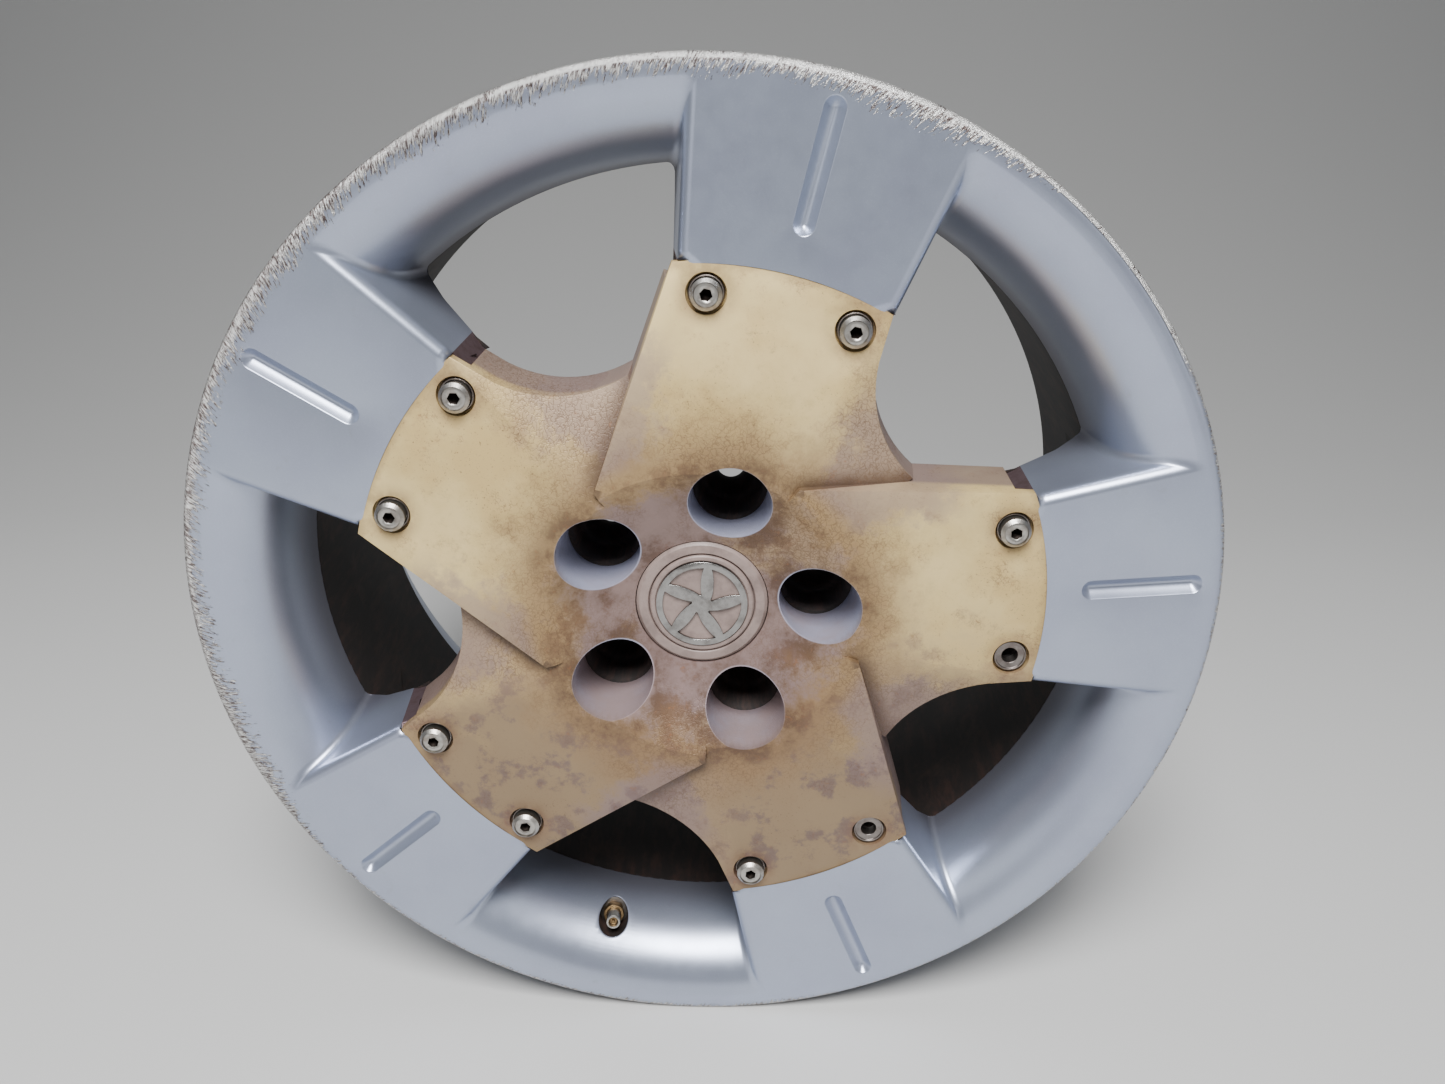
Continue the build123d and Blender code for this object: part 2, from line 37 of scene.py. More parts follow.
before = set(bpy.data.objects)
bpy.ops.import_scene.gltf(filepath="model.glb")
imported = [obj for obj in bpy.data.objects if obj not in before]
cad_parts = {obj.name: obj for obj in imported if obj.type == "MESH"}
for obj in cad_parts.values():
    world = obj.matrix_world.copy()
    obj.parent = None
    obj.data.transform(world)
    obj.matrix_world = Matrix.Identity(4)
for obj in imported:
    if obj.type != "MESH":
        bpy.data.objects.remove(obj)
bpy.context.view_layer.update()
MM = 0.001

# Arms go round the axle from this angle; w below is the distance outboard of mid-rim.
FIRST_ARM = radians(76.14)
PITCH = radians(72)
FACE_W = 114.3
LIP_R = 243.0
WHEEL_R = 248.5
SCRAPE_R = 248.8        # just outside the flange, where the scrapes start
SCREW_R = 152.75
SCREW_TURN = radians(12.63)
LUG_R = 57.15
# Heads of the cover's screws: where their rounded edge lies, and their sockets
HEAD_W = 118.6
HEAD_EDGE_R = 5.5
HEAD_ROUND = 1.6
SOCKET_R = 3.3
SOCKET_W = 119.0
# Slopes of a cover arm, outwards and down its far flank, and the lines on it where the
# flank starts and where the next arm's edge stands, as (from, slope, offset) in metres
ARM_SLOPE = 0.0676
FLANK_SLOPE = 0.2418
FLANK_LINE = (0.08, 0.2925, 0.024)
STEP_LINE = (0.0284, 0.2073, 0.0744)
# The swept dish from the lip down to the barrel, (radius, w)
DISH = [(243.0, 114.3), (240.6, 114.12), (238.0, 113.6), (231.0, 111.2), (223.2, 106.6),
        (216.4, 100.0), (211.3, 92.0), (208.0, 83.0), (205.9, 73.0), (204.6, 64.0),
        (204.0, 58.7)]
# Back of the disc, (radius, w)
DISC_BACK = [(96.0, 66.0), (125.0, 78.0), (165.0, 79.5), (188.0, 70.0), (200.0, 60.5),
             (204.0, 58.7)]
# The dusty inside of the barrel lies within these
INSIDE_R = 212.8
INSIDE_W = 60.0
# Lip, tyre side and inside of the barrel, (radius, w), starting at the dish's top
BARREL = [(243.0, 114.3), (245.2, 114.25), (246.6, 113.9), (247.7, 113.2), (248.3, 112.3),
          (248.5, 111.2), (248.5, 109.9), (248.2, 108.7), (247.4, 107.6), (244.5, 105.8),
          (241.5, 103.8), (240.2, 101.9), (236.0, 101.6), (233.6, 101.2), (231.8, 100.2),
          (231.0, 98.6), (229.3, 81.6), (229.9, 79.6), (231.1, 78.1), (230.4, 76.3),
          (229.2, 74.6), (214.5, 57.6), (213.3, 56.2), (213.0, 54.0), (213.0, -60.5),
          (214.4, -62.6), (229.2, -74.5), (230.4, -76.3), (231.1, -78.0), (229.9, -79.6),
          (229.3, -81.5), (231.0, -98.6), (231.8, -100.2), (233.6, -101.2), (236.0, -101.6),
          (241.0, -101.8), (244.0, -103.0), (247.0, -105.3), (248.2, -106.7), (248.5, -107.8),
          (248.5, -112.3), (248.1, -113.4), (246.9, -114.3), (239.5, -114.3), (237.0, -113.6),
          (228.0, -108.3), (226.0, -106.6), (225.2, -104.0), (224.5, -98.0), (223.5, -80.0),
          (222.6, -77.0), (210.6, -68.6), (209.2, -66.0), (204.2, 55.0), (204.1, 60.0)]


def linear(hex_colour):
    """Linear RGBA from an sRGB hex value."""
    parts = [int(hex_colour[i:i + 2], 16) / 255 for i in (1, 3, 5)]
    return [p / 12.92 if p <= 0.04045 else ((p + 0.055) / 1.055) ** 2.4 for p in parts] + [1]


def colour(name, hex_colour, words):
    return bpy.props.FloatVectorProperty(
        name=name, description=words, subtype="COLOR", size=4, min=0, max=1,
        default=linear(hex_colour))


def length(name, millimetres, words):
    return bpy.props.FloatProperty(
        name=name, description=words, default=millimetres * MM, min=0, unit="LENGTH")


class WheelSizes(bpy.types.PropertyGroup):
    crest: length("Crest radius", 5.2, "Rounding along the long edges of the spokes")
    root: length("Root radius", 4.0, "Hollow rounding between a spoke and the dish")
    corner: length("Window corner", 3.6, "Rounding of the windows' outer corners")
    groove: length("Groove half width", 5.2, "Half the width of a spoke's groove")
    groove_depth: length("Groove depth", 4.2, "How deep the groove is pressed")
    cover_edge: length("Cover edge", 1.3, "Rounding of the cover's edges")
    scrape: length("Kerb scrape", 3.6, "Width of the scraped band on the lip")


class WheelColours(bpy.types.PropertyGroup):
    silver: colour("Silver", "#aab2c4", "Lacquered casting")
    bare: colour("Bare metal", "#d9d8d6", "Aluminium where the kerb took the lacquer off")
    scuff: colour("Scuff", "#5c504e", "Dirt in the scrapes")
    dust: colour("Brake dust", "#191210", "Baked dust inside the barrel")
    cream: colour("Cream", "#d8c088", "Yellowed lacquer on the cover")
    # Tan serves as painted shade on each cover arm's far flank
    tan: colour("Tan", "#9a7f62", "Where the cover's lacquer has gone brown")
    # Mauve also serves as painted shade on the spokes' sides under the cover's edge
    mauve: colour("Mauve", "#7f6c70", "Where the cover's lacquer has worn thin")
    rust: colour("Rust", "#8a5a36", "Rust bloom")
    steel: colour("Steel", "#b9b6b0", "Stainless fasteners")
    cap: colour("Cap", "#8b7a74", "Faded cap")


# ------------------------------------------------------------------ shapes
def arm_point(k, u, v, w):
    """Point from arm k's own coordinates in mm: u clockwise, v outwards, w outboard."""
    a = FIRST_ARM + PITCH * k
    return Vector((u * sin(a) + v * cos(a), -w, -u * cos(a) + v * sin(a))) * MM


def at_fraction(points, t):
    """Point a fraction t along a smooth curve through the given points."""
    x = t * (len(points) - 1)
    i = min(int(x), len(points) - 2)
    f = x - i
    before = points[max(i - 1, 0)]
    after = points[min(i + 2, len(points) - 1)]
    out = []
    for p0, p1, p2, p3 in zip(before, points[i], points[i + 1], after):
        m1, m2 = (p2 - p0) / 2, (p3 - p1) / 2
        h = f * f * (3 - 2 * f)
        out.append(p1 + (p2 - p1) * h + m1 * f * (1 - f) ** 2 - m2 * f * f * (1 - f))
    return out


def height_at(points, r):
    """Straight-line look-up of w for a radius."""
    for (r0, w0), (r1, w1) in zip(points, points[1:]):
        if r <= r1:
            return w0 + (w1 - w0) * (r - r0) / (r1 - r0)
    return points[-1][1]


def finish_piece(name, bm, materials, slot, nodes, body="wheel", sharp=32, merge=True):
    """Turn a bmesh into a finished object that stands for the given CAD nodes."""
    if merge:
        bmesh.ops.remove_doubles(bm, verts=bm.verts, dist=2e-6)
        bmesh.ops.recalc_face_normals(bm, faces=bm.faces)
    for face in bm.faces:
        face.smooth = True
    mesh = bpy.data.meshes.new(name)
    bm.to_mesh(mesh)
    bm.free()
    mesh.set_sharp_from_angle(angle=radians(sharp))
    made = bpy.data.objects.new(name, mesh)
    bpy.context.scene.collection.objects.link(made)
    for material in materials:
        mesh.materials.append(material)
    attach(made, body)
    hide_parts(*nodes)
    return made


def node_copy(node):
    """Merged copy of a CAD node's mesh as a bmesh."""
    bm = bmesh.new()
    bm.from_mesh(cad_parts[node].data)
    bmesh.ops.remove_doubles(bm, verts=bm.verts, dist=1e-6)
    return bm


def soften(bm, width, angle=30, segments=3):
    """Join flat areas and round every edge sharper than the angle."""
    bmesh.ops.dissolve_limit(bm, angle_limit=radians(1.0), verts=bm.verts, edges=bm.edges)
    edges = [e for e in bm.edges if e.is_manifold and e.calc_face_angle() > radians(angle)]
    bmesh.ops.bevel(bm, geom=edges, offset=width, offset_type="OFFSET", affect="EDGES",
                    segments=segments, profile=0.5, material=-1, clamp_overlap=True)


def open_chain(bm, points, close=False):
    verts = [bm.verts.new(p) for p in points]
    pairs = zip(verts, verts[1:] + (verts[:1] if close else []))
    return verts, [bm.edges.new(pair) for pair in pairs]


# ------------------------------------------------------------------ rim
# Steps round half a window: under the cover, along the spoke's side, round the corner;
# then along the whole outer arc, down the dish, and across a spoke's end
TUCK_STEPS = 4
SIDE_STEPS = 14
CORNER_STEPS = 10
ARC_STEPS = 20
SLICES = 40
ARM_ARC_STEPS = 14
# A spoke's side: its half width at one distance out, how fast it widens, and its draft
SPOKE_HALF = 49.0
SPOKE_HALF_V = 163.0
SPOKE_SLOPE = 0.18
SPOKE_STRETCH = sqrt(1 + SPOKE_SLOPE ** 2)
SIDE_DRAFT = tan(radians(6))
SIDE_V = 159.6          # where it comes out from under the cover
TUCK_V = 145.0
TUCK_W = 109.3
TUCK_SHIFT = 2.2        # inwards, over the first TUCK_OVER mm
TUCK_OVER = 8.0
# Height at which the hollow rounding is a window corner's, and the rise to the root's
CORNER_W = 62.0
ROOT_RISE = 45.0
DISC_R = 203.5          # the disc's back ends a spoke's side within it
ARM_REACH = 66.0        # half width that takes in any spoke's flat face
GROOVE_TOP = 239.0
GROOVE_FOOT = 181.5
GROOVE_END_R = 5.2
FLAT = 1e-7             # tolerance for lying on the face plane, in metres


def window_slice(sizes, t):
    """Corner geometry of a window's outline at a fraction t down the dish."""
    r, w = at_fraction(DISH, t)
    crest = sizes.crest / MM
    depth = FACE_W - w
    rounding = 0
    if depth < crest:
        rounding = crest - sqrt(max(crest ** 2 - (crest - depth) ** 2, 0))
    slope, stretch = SPOKE_SLOPE, SPOKE_STRETCH
    side = SPOKE_HALF - slope * SPOKE_HALF_V + (depth + 1) * SIDE_DRAFT * stretch - rounding
    sink = min(max((w - CORNER_W) / ROOT_RISE, 0), 1)
    bend = sizes.root / MM * sink + sizes.corner / MM * (1 - sink)
    a = side + bend * stretch
    reach = r - bend
    v = (-a * slope + sqrt((a * slope) ** 2 - stretch ** 2 * (a ** 2 - reach ** 2))) / stretch ** 2
    centre = (a + slope * v, v)
    on_side = (centre[0] - bend / stretch, centre[1] + bend * slope / stretch)
    on_arc = (centre[0] * r / reach, centre[1] * r / reach)
    return r, w, side, centre, on_side, on_arc, bend


def window_point(sizes, step, t):
    """(u, v, w) in the counter-clockwise arm's coordinates, by steps towards mid-window;
    negative steps are the part of a spoke's side that is tucked under the cover."""
    r, w, side, centre, on_side, on_arc, bend = window_slice(sizes, t)
    if step < 0:
        # 0.98 keeps the first tucked step just clear of the side's own first step
        v = SIDE_V + (SIDE_V - TUCK_V) * (step + 0.98) / TUCK_STEPS
        u = side + SPOKE_SLOPE * v - TUCK_SHIFT * min((SIDE_V - v) / TUCK_OVER, 1)
        w = min(w, TUCK_W)
    elif step <= SIDE_STEPS:
        v = SIDE_V + (on_side[1] - SIDE_V) * step / SIDE_STEPS
        u = side + SPOKE_SLOPE * v
    elif step <= SIDE_STEPS + CORNER_STEPS:
        first = atan2(on_side[1] - centre[1], on_side[0] - centre[0])
        last = atan2(on_arc[1] - centre[1], on_arc[0] - centre[0])
        angle = first + (last - first) * (step - SIDE_STEPS) / CORNER_STEPS
        u, v = centre[0] + bend * cos(angle), centre[1] + bend * sin(angle)
    else:
        first = atan2(on_arc[0], on_arc[1])
        f = (step - SIDE_STEPS - CORNER_STEPS) / (ARC_STEPS / 2)
        angle = first + (PITCH / 2 - first) * f
        u, v = r * sin(angle), r * cos(angle)
    back = height_at(DISC_BACK, hypot(u, v))
    if hypot(u, v) < DISC_R and w < back:
        if step <= SIDE_STEPS:
            u -= (back - w) * SIDE_DRAFT * SPOKE_STRETCH
        w = back
    return u, v, w


def window_grids(bm, sizes):
    """Dish, hollow corners and spoke sides round the five windows."""
    half = TUCK_STEPS + SIDE_STEPS + CORNER_STEPS + ARC_STEPS // 2
    for k in range(5):
        grid = bmesh.ops.create_grid(bm, x_segments=2 * half, y_segments=SLICES, size=1.0)
        for vert in grid["verts"]:
            x, t = round((vert.co.x + 1) * half), (vert.co.y + 1) / 2
            u, v, w = window_point(sizes, min(x, 2 * half - x) - TUCK_STEPS, t)
            if x > half:
                # The other half mirrors about the window's middle
                radius, turn = hypot(u, v), PITCH - atan2(u, v)
                u, v = radius * sin(turn), radius * cos(turn)
            vert.co = arm_point(k, u, v, w)
            # Steps tucked under the cover take the third material, painted shade
            if min(x, 2 * half - x) < TUCK_STEPS:
                for face in vert.link_faces:
                    face.material_index = 2


def stadium(bm, k, radius, w):
    """Closed loop round the groove of arm k."""
    points = []
    ends = ((GROOVE_TOP - GROOVE_END_R, 0.0), (GROOVE_FOOT + GROOVE_END_R, pi))
    for centre, start in ends:
        for i in range(13):
            a = start + pi * i / 12
            points.append(arm_point(k, radius * cos(a), centre + radius * sin(a), w))
    return open_chain(bm, points, close=True)[1]


def on_face(edge, tolerance=FLAT):
    """Whether an edge lies on the plane of the spokes' flat faces."""
    return all(abs(v.co.y + FACE_W * MM) < tolerance for v in edge.verts)


def spoke_faces(bm, sizes):
    """Flat outboard face of each spoke, pierced by its groove."""
    borders = [edge for edge in bm.edges if edge.is_boundary and on_face(edge)]
    *_, on_arc, _ = window_slice(sizes, 0)
    reach = atan2(on_arc[0], on_arc[1])
    inner_u, inner_v, _ = window_point(sizes, 0, 0)
    inner = atan2(inner_u, inner_v)
    inner_r = hypot(inner_u, inner_v)
    fractions = [2 * i / ARM_ARC_STEPS - 1 for i in range(ARM_ARC_STEPS + 1)]
    for k in range(5):
        edges = []
        for radius, half in ((LIP_R, reach), (inner_r, inner)):
            arc = [arm_point(k, radius * sin(half * f), radius * cos(half * f), FACE_W)
                   for f in fractions]
            edges += open_chain(bm, arc)[1]
        middle = arm_point(k, 0, 200, FACE_W)
        outwards = (middle - arm_point(k, 0, 0, FACE_W)).normalized()
        for edge in (e for e in borders if e.is_valid):
            centre = (edge.verts[0].co + edge.verts[1].co) / 2
            local = centre - arm_point(k, 0, 0, FACE_W)
            across = local.cross(outwards).length
            within = hypot(centre.x, centre.z) < LIP_R * MM - 1e-6
            if across < ARM_REACH * MM and local.dot(middle) > 0 and within:
                edges.append(edge)
        loops = [stadium(bm, k, radius, w) for radius, w in groove_rings(sizes)]
        edges += loops[0]
        bmesh.ops.remove_doubles(
            bm, verts=list({v for e in edges if e.is_valid for v in e.verts}), dist=2e-6)
        edges = [e for e in bm.edges if e.is_valid and (e.is_boundary or e.is_wire)
                 and on_face(e) and on_arm(e, k, reach)]
        bmesh.ops.triangle_fill(bm, use_beauty=True, edges=edges, normal=(0, -1, 0))
        for ring in zip(loops, loops[1:]):
            pair = [e for loop in ring for e in loop if e.is_valid]
            bmesh.ops.bridge_loops(bm, edges=pair)
        bmesh.ops.edgeloop_fill(bm, edges=loops[-1])


def on_arm(edge, k, reach):
    """Whether an edge on the face plane bounds arm k's flat face."""
    centre = (edge.verts[0].co + edge.verts[1].co) / 2
    a = FIRST_ARM + PITCH * k
    u = centre.x * sin(a) - centre.z * cos(a)
    v = centre.x * cos(a) + centre.z * sin(a)
    if v <= 0 or abs(u) > ARM_REACH * MM:
        return False
    return abs(atan2(u, v)) < reach or hypot(u, v) < (LIP_R - 0.5) * MM


def groove_rings(sizes):
    """(radius, w) of the groove's rings: a small edge, then a hollow that is half a sine."""
    half, deep = sizes.groove / MM, sizes.groove_depth / MM
    rings = [(half, FACE_W), (half - 0.3, FACE_W - 0.06)]
    for inwards in (0.6, 1.1, 1.7, 2.4, 3.2, 4.0, 4.7):
        rings.append((half - inwards, FACE_W - deep * sin(pi / 2 * (inwards - 0.25) / half)))
    return rings


def barrel(bm):
    """Carry the dish's top edge round the lip, the tyre side and the inside."""
    edges = [e for e in bm.edges if e.is_boundary and on_face(e, 2e-6) and all(
        abs(hypot(v.co.x, v.co.z) - LIP_R * MM) < 2e-6 for v in e.verts)]
    for (r0, w0), (r1, w1) in zip(BARREL, BARREL[1:]):
        made = bmesh.ops.extrude_edge_only(bm, edges=edges)["geom"]
        verts = {g for g in made if isinstance(g, bmesh.types.BMVert)}
        bmesh.ops.scale(bm, vec=(r1 / r0, 1, r1 / r0), verts=list(verts))
        bmesh.ops.translate(bm, vec=(0, (w0 - w1) * MM, 0), verts=list(verts))
        edges = [g for g in made if isinstance(g, bmesh.types.BMEdge)
                 and all(v in verts for v in g.verts)]


# What is left out of the CAD rim's copy: all outside a radius, the flat front (which is
# lower on the arms), and the sides of the spokes
KEPT_R = 206.6
FRONT_W = 113.9
ARM_FRONT_R, ARM_FRONT_W = 180.0, 109.0
WALL_R, WALL_ACROSS, WALL_FACING = 155.0, 46.0, 0.5


def hub_and_backs(bm):
    """Hub, lug seats, screw pads and the backs of the spokes, from the CAD rim."""
    cad = node_copy("rim")
    gone = []
    for face in cad.faces:
        radii = [hypot(v.co.x, v.co.z) / MM for v in face.verts]
        heights = [-v.co.y / MM for v in face.verts]
        centre = face.calc_center_median()
        sector = (atan2(centre.z, centre.x) - FIRST_ARM + PITCH / 2) % PITCH - PITCH / 2
        across = abs(hypot(centre.x, centre.z) / MM * sin(sector))
        outside = max(radii) > KEPT_R
        front = min(heights) > FRONT_W or (
            min(radii) > ARM_FRONT_R and min(heights) > ARM_FRONT_W)
        wall = min(radii) > WALL_R and across > WALL_ACROSS and face.normal.y < WALL_FACING
        if outside or front or wall:
            gone.append(face)
    bmesh.ops.delete(cad, geom=gone, context="FACES")
    for face in cad.faces:
        face.material_index = 1
    mesh = bpy.data.meshes.new("kept")
    cad.to_mesh(mesh)
    cad.free()
    bm.from_mesh(mesh)
    bpy.data.meshes.remove(mesh)


VALVE_ANGLE = radians(255.64)
VALVE_BASE = (211.7, 89.7)
VALVE_TILT = radians(19)
SPOT_T = 10.5
HOLE_R = 5.65
# The pocket round the valve: (radius, drop below the dish), then (radius, t)
POCKET_EDGE = ((8.9, 0.0), (8.6, 0.1), (8.35, 0.35), (8.2, 0.8))
POCKET_WALL = ((8.15, 10.4), (8.0, SPOT_T), (HOLE_R, SPOT_T), (HOLE_R, 24.0))
POCKET_STEPS = 48
POCKET_DARK_R = 8.3
POCKET_REACH = 16.0     # no other opening lies so near the valve


def valve_point(t, radius, angle):
    """Point t mm inboard along the valve's axis and off it by a radius."""
    a, tilt = VALVE_ANGLE, VALVE_TILT
    out = Vector((-sin(tilt) * cos(a), -cos(tilt), -sin(tilt) * sin(a)))
    across = Vector((-sin(a), 0, cos(a)))
    along = out.cross(across)
    base = Vector((VALVE_BASE[0] * cos(a), -VALVE_BASE[1], VALVE_BASE[0] * sin(a)))
    return (base - out * t + across * radius * cos(angle) + along * radius * sin(angle)) * MM


def dish_depth(radius, angle):
    """t at which a line beside the valve's axis meets the dish."""
    count = 60
    profile = [at_fraction(DISH, i / count) for i in range(count + 1)][::-1]
    low, high = -30.0, 30.0
    for _ in range(40):
        t = (low + high) / 2
        p = valve_point(t, radius, angle) / MM
        r = hypot(p.x, p.z)
        dish = DISH[-1][0]
        for (r0, w0), (r1, w1) in zip(profile, profile[1:]):
            if w0 <= -p.y <= w1:
                dish = r0 + (r1 - r0) * (-p.y - w0) / (w1 - w0)
        if r > dish:
            high = t
        else:
            low = t
    return (low + high) / 2


def off_valve(point, low, high):
    """Distance from the valve's axis; 1 m for a point that isn't low to high mm outboard."""
    axis_top = valve_point(0, 0, 0)
    out = (valve_point(-1, 0, 0) - axis_top).normalized()
    offset = point - axis_top
    along = offset.dot(out)
    return (offset - out * along).length if low * MM < along < high * MM else 1.0


def cut_round_valve(bm, low, high, fine, opening):
    """Refine the faces round the valve's axis, delete the nearest, and return the edges
    left round the opening; all in mm."""
    close = {e for f in bm.faces
             if off_valve(f.calc_center_median(), low, high) < fine * MM for e in f.edges}
    bmesh.ops.subdivide_edges(bm, edges=list(close), cuts=2, use_grid_fill=True)
    near = [f for f in bm.faces
            if off_valve(f.calc_center_median(), low, high) < opening * MM]
    bmesh.ops.delete(bm, geom=near, context="FACES")
    return [e for e in bm.edges if e.is_boundary
            and all(off_valve(v.co, low, high) < POCKET_REACH * MM for v in e.verts)]


def valve_seat(bm):
    """Spot face and hole for the valve, let into the dish."""
    edge_loop = cut_round_valve(bm, -20, 20, 19, 10.4)
    angles = [2 * pi * i / POCKET_STEPS for i in range(POCKET_STEPS)]
    rings = []
    for radius, drop in POCKET_EDGE:
        points = [valve_point(dish_depth(radius, a) + drop, radius, a) for a in angles]
        rings.append(open_chain(bm, points, close=True)[1])
    for radius, t in POCKET_WALL:
        points = [valve_point(t, radius, a) for a in angles]
        rings.append(open_chain(bm, points, close=True)[1])
    bmesh.ops.bridge_loops(bm, edges=edge_loop + rings[0])
    for ring, following in zip(rings, rings[1:]):
        bmesh.ops.bridge_loops(bm, edges=ring + following)


def valve_back(bm):
    """Open the tyre side where the valve comes through, and join it to the hole."""
    bmesh.ops.bridge_loops(bm, edges=cut_round_valve(bm, -45, -18.5, 15, 9))


# ------------------------------------------------------------------ materials
# Settings of Math nodes, of a Map Range node that fades smoothly, and of a Mix node that
# mixes colours
TIMES = {"operation": "MULTIPLY"}
PLUS = {"operation": "ADD"}
SMOOTH = {"interpolation_type": "SMOOTHSTEP"}
TINT = {"data_type": "RGBA", "out": 2}


def node(material, kind, *values, out=0, **settings):
    """Add a node and return one of its outputs. Values fill its inputs in order; a setting
    with a capital is an input, i with a number is one by its place, any other a property."""
    tree = material.node_tree
    made = tree.nodes.new("ShaderNode" + kind)
    inputs = dict(enumerate(values))
    for name, value in settings.items():
        if name[0].isupper():
            inputs[name.replace("_", " ")] = value
        elif name[1:].isdigit():
            inputs[int(name[1:])] = value
        else:
            setattr(made, name, value)
    for key, value in inputs.items():
        if isinstance(value, bpy.types.NodeSocket):
            tree.links.new(value, made.inputs[key])
        else:
            made.inputs[key].default_value = value
    return made.outputs[out] if len(made.outputs) else None


def start_material(name):
    material = bpy.data.materials.new(name)
    material.use_nodes = True
    material.node_tree.nodes.clear()
    place = node(material, "TexCoord", out="Object")
    return material, place


def end_material(material, **surface):
    shader = node(material, "BsdfPrincipled", **surface)
    node(material, "OutputMaterial", Surface=shader)
    return material


def polar(material, place):
    """Radius, distance along the axle and angle round it."""
    parts = node(material, "SeparateXYZ", Vector=place, out=slice(3))
    radius = node(material, "Math", node(material, "Math",
        node(material, "Math", parts[0], parts[0], **TIMES),
        node(material, "Math", parts[2], parts[2], **TIMES), **PLUS), operation="SQRT")
    angle = node(material, "Math", parts[2], parts[0], operation="ARCTAN2")
    return radius, parts[1], angle, parts


